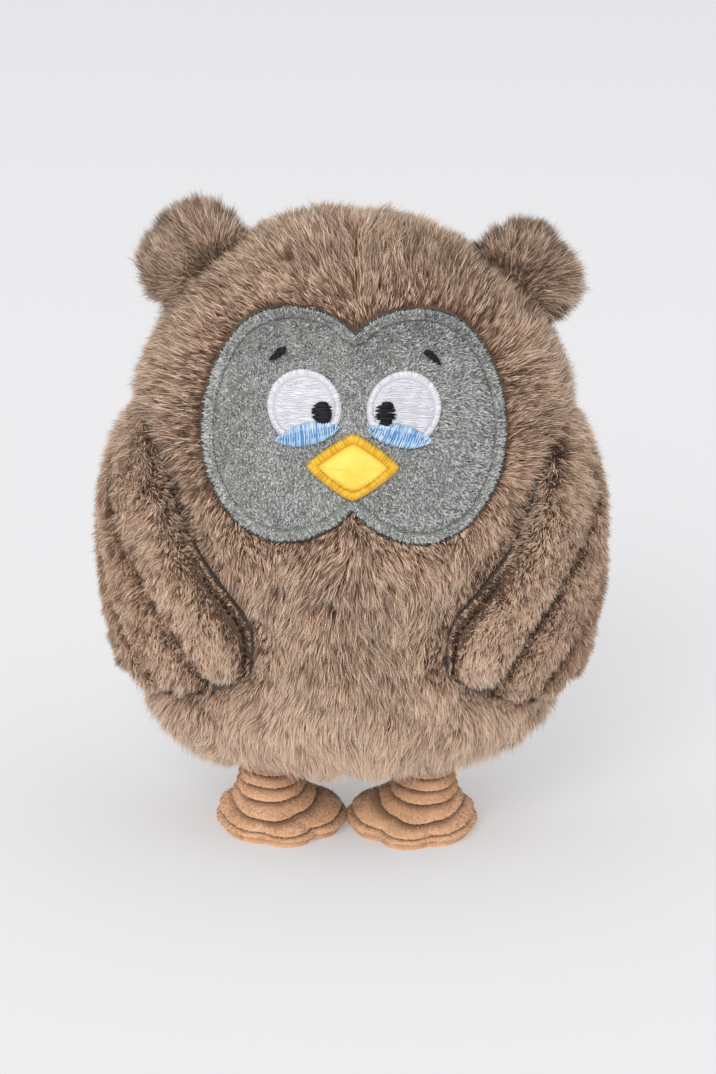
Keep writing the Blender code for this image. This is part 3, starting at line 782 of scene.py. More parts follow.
@dataclass
class Pile:
    """A coat of tapered strands on a skin, some curved and the rest fine and straight."""

    length: float
    width: float
    density: float
    stand: float = 0.62
    lean: float = 0.80
    unrest: float = 0.17
    tuft_size: float = 0.0014
    tuft_pull: float = 0.36
    tuft_unrest: float = 0.14
    tuft_tone: float = 0.20
    tone_spread: float = 0.43
    fine_share: float = 0.55
    seed: int = 1

    def scatter(self, piece: Piece, keep: Callable[[Array], Array]) -> tuple[Array, Array]:
        """Choose the strands' roots, evenly by area.

        Args:
            piece: The skin that carries them.
            keep: Gives the share of strands kept at each place.

        Returns:
            The roots and the skin's directions there.
        """
        rng = np.random.default_rng(self.seed)
        mesh = piece.data
        mesh.calc_loop_triangles()
        corners = in_threes(mesh.loop_triangles, "vertices", np.int32)
        points, normals = in_threes(mesh.vertices, "co"), in_threes(mesh.vertices, "normal")
        a, b, c = (points[corners[:, k]] for k in range(3))
        areas = np.linalg.norm(np.cross(b - a, c - a), axis=1) / 2
        count = int(areas.sum() * self.density)
        chosen = np.searchsorted(np.cumsum(areas), rng.uniform(0, areas.sum(), count))
        chosen = np.minimum(chosen, len(corners) - 1)
        mix = rng.uniform(0, 1, (count, 2))
        over = mix.sum(axis=1) > 1
        mix[over] = 1 - mix[over]
        shares = np.column_stack([1 - mix.sum(axis=1), mix])
        roots = (points[corners[chosen]] * shares[:, :, None]).sum(axis=1)
        ups = unit((normals[corners[chosen]] * shares[:, :, None]).sum(axis=1))
        kept = rng.uniform(0, 1, count) < keep(roots)
        return roots[kept], ups[kept]

    @staticmethod
    def tufts(roots: Array, size: float) -> Array:
        """Find the tuft that each strand belongs to, whose middle is the nearest.

        Args:
            roots: The strands' roots.
            size: The usual width of a tuft.

        Returns:
            The tuft's number for each strand.
        """
        cells = np.floor(roots / size)
        best = np.full(len(roots), np.inf)
        found = np.zeros(len(roots))
        for step in product((-1, 0, 1), repeat=3):
            cell = cells + step
            key = cell @ (127.1, 311.7, 74.7)
            mixed = [np.abs(np.sin(key + k * 19.19)) * 43758.5453 for k in range(3)]
            drift = np.stack([np.modf(values)[0] for values in mixed], axis=1)
            gap = np.linalg.norm((cell + drift) * size - roots, axis=1)
            nearer = gap < best
            best = np.where(nearer, gap, best)
            found = np.where(nearer, key, found)
        return np.unique(found, return_inverse=True)[1]

    def grow(
        self, name: str, roots: Array, ups: Array, combs: Array,
        lengths: Array, tones: Array, finish: Material,
    ) -> Piece:
        """Grow the strands as one piece.

        Args:
            name: The piece's name.
            roots: Where the strands start.
            ups: The skin's directions there.
            combs: The directions in which the pile is combed.
            lengths: Each strand's length, as a share of the coat's.
            tones: Each strand's tone, about -1 to 1.
            finish: The pile's material.

        Returns:
            The piece.
        """
        rng = np.random.default_rng(self.seed + 100)
        count = len(roots)
        small = self.tufts(roots, self.tuft_size)
        large = self.tufts(roots, self.tuft_size * 3.5)
        swirl = rng.standard_normal((large.max() + 1, 3))[large] * self.tuft_unrest
        swirl += rng.standard_normal((small.max() + 1, 3))[small] * self.tuft_unrest
        stray = rng.standard_normal((count, 3)) * self.unrest
        low = unit(ups * (self.stand + 0.35) + combs * self.lean * 0.6 + swirl * 0.7 + stray)
        high = unit(ups * (self.stand - 0.15) + combs * self.lean * 1.25 + swirl + stray * 1.6)
        reach = self.length * lengths * (1 + 0.10 * rng.standard_normal(small.max() + 1)[small])
        reach *= 1 + 0.12 * rng.standard_normal(count)
        reach = np.maximum(reach, self.length * 0.12)[:, None]
        middles = roots + low * reach * 0.5
        tips = middles + high * reach * 0.5
        sizes = np.bincount(small)[:, None]
        for points, pull in ((middles, self.tuft_pull * 0.4), (tips, self.tuft_pull)):
            means = np.column_stack([np.bincount(small, points[:, k]) for k in range(3)]) / sizes
            points += (means[small] - points) * pull
        turn = rng.normal(0, 0.5, count)[:, None]
        run = unit(tips - roots)
        across = unit(np.cross(run, ups))
        across = across * np.cos(turn) + np.cross(run, across) * np.sin(turn)
        facing = np.cross(across, run)
        hidden = np.where((facing * ups).sum(axis=1, keepdims=True) < 0, -1, 1)
        across, facing = across * hidden, facing * hidden
        tone = 0.5 + 0.17 * tones + self.tuft_tone * rng.standard_normal(small.max() + 1)[small]
        tone = np.clip(tone + self.tone_spread * rng.standard_normal(count), 0.03, 0.97)
        half = self.width / 2 * (0.65 + 0.7 * tone) * rng.uniform(0.75, 1.25, count)
        half = half[:, None] * across
        sunk = roots - ups * self.length * 0.06
        waist = half * 0.85
        verts = np.stack([sunk - half, sunk + half, middles - waist, middles + waist, tips], axis=1)
        fine = rng.uniform(0, 1, count) < self.fine_share
        shine = unit(ups * 0.7 + facing * 0.45 + 0.15 * rng.standard_normal((count, 3)))
        return self.weave(name, verts, tone, shine, fine, finish)

    @staticmethod
    def weave(
        name: str, verts: Array, tone: Array, shine: Array, fine: Array,
        finish: Material,
    ) -> Piece:
        """Make the mesh of all strands, with the map that colours them.

        Args:
            name: The piece's name.
            verts: Five points for each strand.
            tone: Each strand's place across the map.
            shine: The direction in which each strand takes the light.
            fine: Which strands are straight, and leave out their middle.
            finish: The pile's material.

        Returns:
            The piece.
        """
        curved, straight = verts[~fine], verts[fine][:, [0, 1, 4]]
        points = np.concatenate([curved.reshape(-1, 3), straight.reshape(-1, 3)]).astype(np.float32)
        first, second = np.arange(len(curved))[:, None], np.arange(len(straight))[:, None]
        loops = (first * 5 + np.array([0, 1, 3, 2, 2, 3, 4])).ravel()
        loops = np.concatenate([loops, len(curved) * 5 + (second * 3 + np.array([0, 1, 2])).ravel()])
        starts = (first * 7 + np.array([0, 4])).ravel()
        starts = np.concatenate([starts, len(curved) * 7 + (second * 3).ravel()])
        mesh = bpy.data.meshes.new(name)
        mesh.vertices.add(len(points))
        mesh.vertices.foreach_set("co", points.ravel())
        mesh.loops.add(len(loops))
        mesh.loops.foreach_set("vertex_index", loops.astype(np.int32))
        mesh.polygons.add(len(starts))
        mesh.polygons.foreach_set("loop_start", starts.astype(np.int32))
        mesh.update(calc_edges=True)
        sides = np.array([-1, 1, 1, -1, -1, 1, 0]) * 0.0002
        heights = np.array([0.02, 0.02, 0.5, 0.5, 0.5, 0.5, 0.98])
        long = np.stack([tone[~fine][:, None] + sides, np.tile(heights, (len(curved), 1))], axis=2)
        ends = [0, 1, 6]
        short = [tone[fine][:, None] + sides[ends], np.tile(heights[ends], (len(straight), 1))]
        short = np.stack(short, axis=2)
        layer = mesh.uv_layers.new(name="OFBake")
        layer.uv.foreach_set("vector", np.concatenate([long.ravel(), short.ravel()]).astype(np.float32))
        mesh.shade_smooth()
        mesh.normals_split_custom_set_from_vertices(
            np.concatenate([np.repeat(shine[~fine], 5, axis=0), np.repeat(shine[fine], 3, axis=0)])
        )
        mesh.materials.append(finish)
        piece = bpy.data.objects.new(name, mesh)
        bpy.context.scene.collection.objects.link(piece)
        return piece


# Embroidery


@dataclass
class Needle:
    """Gathers stitches, each a slim rounded thread of its own tone, and makes them one piece."""

    thickness: float = 0.00034
    rise: float = 0.00028
    seed: int = 3
    rows: list = field(default_factory=list)

    def stitch(self, start: Array, end: Array, outward: Array, crown: float = 0.0) -> None:
        """Take one stitch.

        Args:
            start: Its first end.
            end: Its other end.
            outward: The direction out of the cloth.
            crown: How much higher its middle is than its ends.
        """
        self.rows.append(np.concatenate([start, end, outward, [crown]]))

    def finish(self, name: str, thread: Material) -> Piece:
        """Make the stitches one piece.

        Args:
            name: The piece's name.
            thread: Its finish.

        Returns:
            The piece.
        """
        rng = np.random.default_rng(self.seed)
        rows = np.array(self.rows)
        count = len(rows)
        ball = lay_grid(6, 6, on_ball)
        face_out(ball)
        ball.verts.index_update()
        shape = np.array([vert.co[:] for vert in ball.verts])
        rings = [[vert.index for vert in face.verts] for face in ball.faces]
        ball.free()
        stray = rng.normal(0, self.thickness * 0.2, (2, count, 3))
        starts, ends = rows[:, 0:3] + stray[0], rows[:, 3:6] + stray[1]
        axes, outward = (ends - starts) / 2, unit(rows[:, 6:9])
        beside = unit(np.cross(outward, axes))
        thick = (self.thickness / 2 * rng.uniform(0.9, 1.15, count))[:, None, None]
        along = (np.sign(shape[:, 2]) * np.abs(shape[:, 2]) ** 0.8)[None, :, None]
        lift = rows[:, 9:10] * (1 - shape[:, 2] ** 2) + shape[:, 1] * self.rise
        points = ((starts + ends) / 2)[:, None] + axes[:, None] * along
        points = points + beside[:, None] * thick * shape[None, :, :1]
        points = points + outward[:, None] * lift[:, :, None]
        size = len(shape)
        faces = [[k * size + index for index in ring] for k in range(count) for ring in rings]
        mesh = bpy.data.meshes.new(name)
        mesh.from_pydata(points.reshape(-1, 3), [], faces)
        tone = mesh.attributes.new("tone", "FLOAT", "POINT")
        tone.data.foreach_set("value", np.repeat(np.clip(rng.normal(0.5, 0.22, count), 0, 1), size))
        bm = bmesh.new()
        bm.from_mesh(mesh)
        bpy.data.meshes.remove(mesh)
        bmesh.ops.recalc_face_normals(bm, faces=bm.faces)
        return finish_piece(name, bm, thread)


@dataclass
class FaceNeedle(Needle):
    """Sews on the face, in places across and up it."""

    form: BodyForm = field(default_factory=BodyForm)

    def sew(self, start: Array, end: Array, proud: float, crown: float = 0.0) -> None:
        """Take one stitch on the face.

        Args:
            start: Its first end, across and up.
            end: Its other end.
            proud: How far outside the form its middle line lies.
            crown: How much higher its middle is than its ends.
        """
        flat = np.array([start, end, (start + end) / 2])
        low = self.form.front(flat[:, 0], flat[:, 1], proud)
        high = self.form.front(flat[2:, 0] * 1.01, flat[2:, 1] + (flat[2:, 1] + 0.04) * 0.01, proud + 0.001)
        self.stitch(low[0], low[1], high[0] - low[2], crown)


@dataclass
class FaceCloth:
    """Cuts pads and bands of cloth that follow the face."""

    form: BodyForm

    def pad(
        self, outline: Outline, centre: Array, low: float, high: float,
        crown: float = 0.0, reach: float = 0.004, rings: int = 16, domed: bool = False,
    ) -> Mesh:
        """Make a closed pad over an outline, rounded over at its rim and swelling towards its middle.

        Args:
            outline: Its rim.
            centre: Its middle.
            low: How far outside the form its underside lies.
            high: The same for its upper side beside the rim.
            crown: How much its middle rises above that.
            reach: How far from the rim it is at its full height.
            rings: Rings of faces between rim and middle.
            domed: Whether it swells to one round dome, whatever its outline, instead of to a level top.

        Returns:
            The pad.
        """
        count = len(outline)

        def place(u: Array, v: Array) -> Array:
            """Return the pad's points.

            Args:
                u: Places round it.
                v: Places from its underside's middle over its rim to its top's middle.

            Returns:
                Rows of x, y and z.
            """
            rim = follow(u * count, np.arange(count + 1), closed(outline))
            share = np.where(v < 0.25, v / 0.25, (1 - v) / 0.75)
            flat = centre + (rim - centre) * share[:, None]
            inward, _ = nearest(flat, outline)
            edge = np.sqrt(1 - (1 - np.clip(inward / 0.0007, 0, 1)) ** 2)
            swell = 1 - (1 - np.clip(inward / reach, 0, 1)) ** 2
            if domed:
                away = (flat - centre) / np.abs(outline - centre).max(axis=0)
                swell = 1 - np.clip((away**2).sum(axis=1), 0, 1)
                edge = np.sqrt(1 - (1 - np.clip(inward / 0.0014, 0, 1)) ** 2)
            top = low + (high - low) * edge + crown * swell
            return self.form.front(flat[:, 0], flat[:, 1], np.where(v < 0.25, low, top))

        bm = lay_grid(count, rings + max(rings // 3, 2), place)
        face_out(bm)
        return bm

    def band(self, outline: Outline, width: float, low: float, high: float) -> Mesh:
        """Make a closed rounded band inside an outline.

        Args:
            outline: Its outer rim.
            width: Its width.
            low: How far outside the form its underside lies.
            high: How far outside its crest lies.

        Returns:
            The band.
        """
        inner = drawn_in(outline, width)
        count = len(outline)

        def place(u: Array, v: Array) -> Array:
            """Return the band's points.

            Args:
                u: Places round it.
                v: Places round its section.

            Returns:
                Rows of x, y and z.
            """
            edges = [follow(u * count, np.arange(count + 1), closed(line)) for line in (outline, inner)]
            turn = v * 2 * math.pi
            share = ((1 - np.cos(turn)) / 2)[:, None]
            flat = edges[0] * (1 - share) + edges[1] * share
            rise = np.where(v < 0.5, np.abs(np.sin(turn)) ** 0.7, 0)
            return self.form.front(flat[:, 0], flat[:, 1], low + (high - low) * rise)

        bm = lay_grid(count, 12, place)
        face_out(bm)
        return bm


@dataclass
class Face:
    """The grey mask with its border, and the embroidered eyes, brows and beak."""

    form: BodyForm
    finishes: Finishes
    half_width: float = 0.0452
    half_height: float = 0.0350
    sink: float = 0.003
    border_width: float = 0.0033
    eye_place: tuple = (0.01466, 0.0043)
    eye_half_width: float = 0.0111
    eye_half_height: float = 0.0109
    eye_border: float = 0.0023
    pupil_place: tuple = (0.00942, 0.0035)
    pupil_radius: float = 0.0031
    lid_place: tuple = (0.0136, -0.0029)
    lid_half_length: float = 0.0096
    lid_half_height: float = 0.0034
    lid_slant: float = 13.0
    brow_place: tuple = (0.0229, 0.0190)
    brow_half_length: float = 0.0027
    brow_slant: float = 42.0
    beak_place: tuple = (0.0, -0.0123)
    beak_half_width: float = 0.0144
    beak_half_height: float = 0.0103
    beak_border: float = 0.0031
    outline_shares: tuple = (
        (0.0, 0.72), (0.13, 0.84), (0.265, 0.90), (0.43, 0.912), (0.61, 0.855), (0.763, 0.72),
        (0.88, 0.50), (0.96, 0.253), (1.0, -0.04), (0.98, -0.39), (0.895, -0.664), (0.748, -0.886),
        (0.564, -1.0), (0.378, -1.0), (0.218, -0.93), (0.085, -0.82), (0.0, -0.705),
    )

    def __post_init__(self) -> None:
        """Work out the outlines that the pieces share."""
        self.cloth = FaceCloth(self.form)
        half = through([(x * self.half_width, z * self.half_height) for x, z in self.outline_shares], 8)
        mirrored = half[1:-1][::-1] * (-1, 1)
        self.outline = np.vstack([half, mirrored])

    @property
    def level(self) -> float:
        """Return how far outside the form the embroidery's underside lies."""
        return -self.sink - 0.0003

    def place_on(self, side: Side, place: tuple[float, float]) -> Array:
        """Return a place on the owl's left side of the face, or its mirror image."""
        return np.array([side.value * place[0], place[1]])

    def lid(self, side: Side) -> tuple[Array, Outline]:
        """Work out a lower lid, a slanted lens.

        Args:
            side: Which eye.

        Returns:
            Its middle and its outline.
        """
        centre = self.place_on(side, self.lid_place)
        turn = np.linspace(0, 2 * math.pi, 48, endpoint=False)
        long = self.lid_half_length * np.cos(turn)
        high = self.lid_half_height * np.sign(np.sin(turn)) * np.abs(np.sin(turn)) ** 1.25
        along, beside = slanted(-self.lid_slant * side.value)
        return centre, long[:, None] * along + high[:, None] * beside + centre

    def eye_outline(self, side: Side) -> Outline:
        """Return the eye's outline, its lower edge lifted to the lid.

        Args:
            side: Which eye.

        Returns:
            The closed outline.
        """
        centre = self.place_on(side, self.eye_place)
        turn = np.linspace(0, 2 * math.pi, 96, endpoint=False)
        oval = [self.eye_half_width * np.cos(turn), self.eye_half_height * np.sin(turn)]
        rim = centre + np.column_stack(oval)
        middle, _ = self.lid(side)
        slope = math.tan(math.radians(-self.lid_slant * side.value))
        axis = middle[1] + slope * (rim[:, 0] - middle[0])
        rim[:, 1] = np.where(rim[:, 1] < axis, axis, rim[:, 1])
        return rim

    def beak_outline(self) -> Outline:
        """Return the beak's diamond with slightly bowed sides.

        Returns:
            The closed outline.
        """
        corners = np.array([(1, 0), (0, 1), (-1, 0), (0, -1)])
        corners = corners * (self.beak_half_width, self.beak_half_height)
        points = []
        for start, end in zip(corners, np.roll(corners, -1, axis=0)):
            for share in np.linspace(0, 1, 12, endpoint=False):
                bow = 1 + 0.08 * 4 * share * (1 - share)
                points.append((start * (1 - share) + end * share) * bow)
        rounded = np.array(points)
        for _ in range(2):
            rounded = (rounded * 2 + np.roll(rounded, 1, axis=0) + np.roll(rounded, -1, axis=0)) / 4
        return evenly(rounded + self.beak_place, 96)

    def build(self) -> None:
        """Build every piece of the face."""
        self.build_mask()
        self.build_beak()
        for side in Side:
            self.build_eye(side)

    def build_mask(self) -> None:
        """Build the mask panel, its short pile, its stitched border and the seam thread round it."""
        outline = evenly(self.outline, 260)
        sunk = -self.sink
        plush = self.finishes.grey_plush
        pad = self.cloth.pad(
            outline, np.zeros(2), sunk - 0.0017, sunk - 0.0008, crown=0.0006, reach=0.012, rings=30
        )
        panel = cut("mask_panel", pad, plush, "body", ["face_mask"])
        band = self.cloth.band(outline, self.border_width, sunk - 0.0008, sunk + 0.0004)
        border = cut("mask_border", band, plush, "body", ["face_mask_border"])
        seam = FaceNeedle(thickness=0.0006, rise=0.0004, seed=8)
        rim = evenly(drawn_in(self.outline, -0.0001), 210)
        for start, end in zip(rim, np.roll(rim, -1, axis=0)):
            seam.sew(start, start + (end - start) * 1.1, sunk + 0.0002)
        settle(seam.finish("mask_seam", self.finishes.seam_thread), "body")
        overcast = FaceNeedle(thickness=0.00030, rise=0.0002, seed=9)
        outer = evenly(drawn_in(self.outline, 0.0003), 420)
        for start, end in zip(outer, drawn_in(outer, 0.0011)):
            overcast.sew(start, end, sunk + 0.0004, 0.0004)
        settle(overcast.finish("mask_overcast", self.finishes.grey_thread), "body")
        self.grow_mask_pile([panel, border])

    def grow_mask_pile(self, cloths: Sequence[Piece]) -> None:
        """Grow the mask's short pile between the embroidered pieces.

        Args:
            cloths: The mask's panel and its border.
        """
        bare = [drawn_in(self.beak_outline(), 0.0004)]
        for side in Side:
            bare += [drawn_in(self.eye_outline(side), 0.0004), drawn_in(self.lid(side)[1], 0.0004)]
        inner = evenly(drawn_in(self.outline, self.border_width), 120)
        rim = evenly(drawn_in(self.outline, 0.0006), 120)
        for cloth, seed in zip(cloths, (21, 22)):
            banded = cloth is cloths[1]

            def keep(roots: Array) -> Array:
                """Return the share of strands kept: none below the embroidery.

                Args:
                    roots: The strands' roots.

                Returns:
                    One share a strand.
                """
                flat = self.form.face_plan(roots)
                lowest = self.form.front(flat[:, 0], flat[:, 1], -self.sink - 0.0010)[:, 1]
                kept = within(flat, rim if banded else inner) & (roots[:, 1] < lowest)
                for outline in bare:
                    kept &= ~within(flat, outline)
                return kept.astype(float)

            pile = Pile(
                length=0.0012, width=0.00036, density=11.0e6, stand=0.6, lean=0.7, unrest=0.3,
                tuft_size=0.0006, tuft_pull=0.3, tuft_unrest=0.25, tuft_tone=0.08, tone_spread=0.48,
                fine_share=1.0, seed=seed,
            )
            roots, ups = pile.scatter(cloth, keep)
            flat = self.form.face_plan(roots)
            bearing = 1.1 * ripple(roots, size=0.020, seed=5) + 0.5 * ripple(roots, size=0.005, seed=4) + 0.4
            combs = np.column_stack([np.cos(bearing), np.zeros(len(roots)), -np.sin(bearing)])
            gap, steps = nearest(flat, rim)
            outward = unit(np.column_stack([steps[:, 0], np.zeros(len(roots)), steps[:, 1]]))
            share = (1 - ease(gap, 0.0, 0.0030))[:, None]
            combs = unit(combs * (1 - share) + outward * share)
            # painted shade in the crease between the border and the panel
            crease = np.exp(-(((gap + 0.0006 - self.border_width) / 0.0005) ** 2))
            tones = 0.4 * ripple(roots, size=0.012, seed=6) + 0.2 * ripple(roots, size=0.003, seed=7)
            tones = tones - 3.2 * crease + 0.7 * share[:, 0]
            # painted shade, darker towards the top of the mask
            tones -= 2.6 * ease(flat[:, 1], 0.008, 0.032)
            lengths = 1 - 0.65 * crease
            name = f"{cloth.name}_pile"
            coat = pile.grow(name, roots, ups, combs, lengths, tones, self.finishes.grey_pile)
            settle(coat, "body")

    def lay_border(
        self, name: str, outline: Outline, width: float, proud: float, crown: float, pitch: float,
        thread: str,
    ) -> None:
        """Lay satin stitches across a band inside an outline.

        Args:
            name: The piece's name.
            outline: The band's outer rim.
            width: The stitches' length.
            proud: How far outside the form their ends lie.
            crown: How much their middles rise.
            pitch: The distance from one stitch to the next.
            thread: The name of the finish that they take.
        """
        run = np.linalg.norm(np.diff(closed(outline), axis=0), axis=1).sum()
        count = int(run / pitch)
        outer = evenly(outline, count)
        inner = drawn_in(outer, width)
        needle = FaceNeedle(thickness=pitch * 1.25, seed=len(name))
        for start, end in zip(outer, inner):
            needle.sew(start, end, proud, crown)
        settle(needle.finish(name, getattr(self.finishes, thread)), "body")

    def build_eye(self, side: Side) -> None:
        """Build one eye: patch, border, pupil, lower lid and brow.

        Args:
            side: Which eye.
        """
        word = side.word
        white, blue = self.finishes.white_thread, self.finishes.blue_thread
        centre = self.place_on(side, self.eye_place)
        rim = evenly(self.eye_outline(side), 120)
        low = self.level
        pad = self.cloth.pad(drawn_in(rim, self.eye_border * 0.5), centre, low, low + 0.0009, crown=0.0003)
        cut(f"eye_{word}_white", pad, white, "body", [f"eye_patch_{word}"])
        band = self.cloth.band(rim, self.eye_border, low, low + 0.0015)
        cut(f"eye_{word}_border", band, white, "body", [f"eye_border_{word}"])
        self.lay_border(
            f"eye_{word}_border_stitches", rim, self.eye_border, proud=low + 0.0004, crown=0.0014,
            pitch=0.00036, thread="white_thread",
        )
        self.lay_rows(
            f"eye_{word}_stitches", drawn_in(rim, self.eye_border), proud=low + 0.0014, length=0.0046,
            pitch=0.00034, side=side,
        )
        self.build_pupil(side, low)
        middle, lens = self.lid(side)
        pad = self.cloth.pad(lens, middle, low, low + 0.0011, crown=0.0007, reach=0.003, rings=8)
        cut(f"lid_{word}", pad, blue, "body", [f"lower_lid_{word}"])
        self.lay_lid(side, middle, low)
        self.build_brow(side, low)

    def lay_rows(
        self, name: str, outline: Outline, proud: float, length: float, pitch: float, side: Side
    ) -> None:
        """Fill an eye's white with level rows of flat stitches.

        Args:
            name: The piece's name.
            outline: What is filled.
            proud: How far outside the form the stitches lie.
            length: A stitch's usual length.
            pitch: The distance between rows.
            side: Which eye it is, which sets where the rows break.
        """
        needle = FaceNeedle(thickness=pitch * 1.3, rise=0.00008, seed=40 + side.value)
        low, high = outline[:, 1].min(), outline[:, 1].max()
        for row, level in enumerate(np.arange(low + pitch / 2, high, pitch)):
            span = np.linspace(outline[:, 0].min(), outline[:, 0].max(), 240)
            inside = span[within(np.column_stack([span, np.full(240, level)]), outline)]
            if len(inside) < 3:
                continue
            start = inside[0]
            stop = start + length * (0.35 + 0.6 * ((row * 0.37) % 1))
            while start < inside[-1] - pitch:
                stop = min(stop, inside[-1])
                needle.sew(np.array([start, level]), np.array([stop, level]), proud)
                start, stop = stop - pitch * 0.4, stop + length
        settle(needle.finish(name, self.finishes.white_thread), "body")

    def build_pupil(self, side: Side, low: float) -> None:
        """Build a pupil of level black stitches with ragged ends.

        Args:
            side: Which eye.
            low: How far outside the form the eye's underside lies.
        """
        middle = self.place_on(side, self.pupil_place)
        needle = FaceNeedle(thickness=0.0008, rise=0.0003, seed=60 + side.value)
        rng = np.random.default_rng(70 + side.value)
        for level in np.arange(-self.pupil_radius, self.pupil_radius * 1.02, 0.00034):
            half = self.pupil_radius * math.sqrt(max(1 - (level / (self.pupil_radius * 1.1)) ** 2, 0.1))
            ends = half + rng.uniform(-0.0006, 0.0004, 2)
            needle.sew(middle + (-ends[0], level), middle + (ends[1], level), low + 0.0018, 0.0002)
        piece = needle.finish(f"pupil_stitches_{side.word}", self.finishes.black_thread)
        settle(piece, "body", [f"pupil_{side.word}"])

    def lay_lid(self, side: Side, middle: Array, low: float) -> None:
        """Lay the lower lid's upright stitches.

        Args:
            side: Which eye.
            middle: The lid's middle.
            low: How far outside the form the eye's underside lies.
        """
        needle = FaceNeedle(thickness=0.00046, rise=0.0003, seed=80 + side.value)
        along, beside = slanted(-self.lid_slant * side.value)
        lean = along * 0.0006
        for place in np.arange(-self.lid_half_length * 0.99, self.lid_half_length, 0.00037):
            half = self.lid_half_height * (1 - (place / self.lid_half_length) ** 2) ** 0.7
            split = half * (0.25 if int(place / 0.00037) % 2 else -0.25)
            base = middle + along * place
            needle.sew(base - beside * half - lean, base + beside * split, low + 0.0017, 0.0004)
            needle.sew(base + beside * split, base + beside * half + lean, low + 0.0017, 0.0004)
        settle(needle.finish(f"lid_stitches_{side.word}", self.finishes.blue_thread), "body")

    def build_brow(self, side: Side, low: float) -> None:
        """Build a brow, a short slanted patch of black stitches that narrows inwards.

        Args:
            side: Which eye.
            low: How far outside the form the mask's surface lies.
        """
        middle = self.place_on(side, self.brow_place)
        along, beside = slanted(-self.brow_slant * side.value)
        needle = FaceNeedle(thickness=0.0007, rise=0.0004, seed=90 + side.value)
        for place in np.arange(-self.brow_half_length, self.brow_half_length + 0.0001, 0.0003):
            share = (place + self.brow_half_length) / (2 * self.brow_half_length)
            half = 0.00012 + 0.00095 * math.sin(math.pi * share**0.62) ** 0.7
            base = middle + along * place * side.value
            lean = along * side.value * 0.0005
            needle.sew(base - beside * half - lean, base + beside * half + lean, low + 0.0016, 0.0003)
        piece = needle.finish(f"brow_stitches_{side.word}", self.finishes.black_thread)
        settle(piece, "body", [f"brow_{side.word}"])

    def build_beak(self) -> None:
        """Build the beak's puffed panel and its golden border, and a line of darker gold stitches as painted
        shade for the crease low on the panel.
        """
        rim = self.beak_outline()
        low = self.level
        inner = drawn_in(rim, self.beak_border * 0.8)
        yellow, gold = self.finishes.yellow_cloth, self.finishes.gold_thread
        pad = self.cloth.pad(
            inner, np.array(self.beak_place), low, low + 0.0015, crown=0.0019, rings=22, domed=True
        )
        cut("beak_cloth", pad, yellow, "body", ["beak_panel"])
        band = self.cloth.band(rim, self.beak_border, low, low + 0.0019)
        cut("beak_edge", band, gold, "body", ["beak_border"])
        # painted shade: darker gold stitches put where the panel creases
        needle = FaceNeedle(thickness=0.0005, rise=0.0002, seed=12)
        run = np.linspace(-1, 1, 15)
        crease = np.column_stack([run * 0.0058, self.beak_place[1] - 0.0058 + 0.0030 * run**2])
        for start, end in zip(crease, crease[1:]):
            needle.sew(start, end, low + 0.0030, 0.0001)
        settle(needle.finish("beak_crease", gold), "body")
        self.lay_border(
            "beak_border_stitches", rim, self.beak_border, proud=low + 0.0006, crown=0.0017,
            pitch=0.00038, thread="gold_thread",
        )


# Furred pieces


@dataclass
class Coat:
    """The owl's long pile: how it lies and how it is coloured."""

    form: BodyForm
    paler_below: float = 3.2
    darker_above: float = 2.0

    def tones(self, roots: Array) -> Array:
        """Return the pile's tone, darker and lighter in random patches, palest at the bottom as painted
        bounce light from the floor, and darker from the middle up as painted shade.

        Args:
            roots: The strands' roots.

        Returns:
            One tone a strand.
        """
        patches = 0.5 * ripple(roots, size=0.030, seed=11) + 0.7 * ripple(roots, size=0.010, seed=12)
        patches = patches + 0.6 * ripple(roots, size=0.005, seed=18)
        # painted bounce light at the bottom and painted shade from the middle up
        pale = self.paler_below * (1 - ease(roots[:, 2], 0.020, 0.062))
        return patches + pale + 1.0 - self.darker_above * ease(roots[:, 2], 0.065, 0.140)

    def lie(self, roots: Array, ups: Array) -> Array:
        """Return the directions in which the body's pile is combed.

        Args:
            roots: The strands' roots.
            ups: The skin's directions there.

        Returns:
            One direction a strand, along the skin.
        """
        from_face = roots - np.array([0, -self.form.half_depth, self.form.face_level])
        from_face[:, 0] *= 1.25
        down = np.tile([0.0, 0.0, -1.0], (len(roots), 1))
        front = 1 - ease(roots[:, 1], -0.012, 0.022)
        upper = ease(roots[:, 2], 0.088, 0.128)
        share = (front * upper)[:, None]
        crown = (ease(roots[:, 2], 0.172, 0.186) * (1 - front))[:, None]
        combs = unit(from_face) * share + down * (1 - share) * (1 - crown)
        combs += np.array([0.0, 1.0, 0.0]) * crown
        away = np.sign(roots[:, 0]) * np.exp(-np.abs(roots[:, 0]) / 0.006)
        seam = ease(roots[:, 2], 0.150, 0.175) + (1 - ease(roots[:, 2], 0.022, 0.04))
        seam = np.clip(seam, 0, 1)
        combs[:, 0] += away * (0.2 + 0.5 * seam) * np.where(roots[:, 1] > 0, 1, seam)
        combs[:, 0] += 0.45 * ripple(roots, size=0.020, seed=13) + 0.35 * ripple(roots, size=0.008, seed=16)
        combs[:, 2] += 0.35 * ripple(roots, size=0.014, seed=14)
        combs -= ups * (combs * ups).sum(axis=1, keepdims=True)
        return unit(combs)


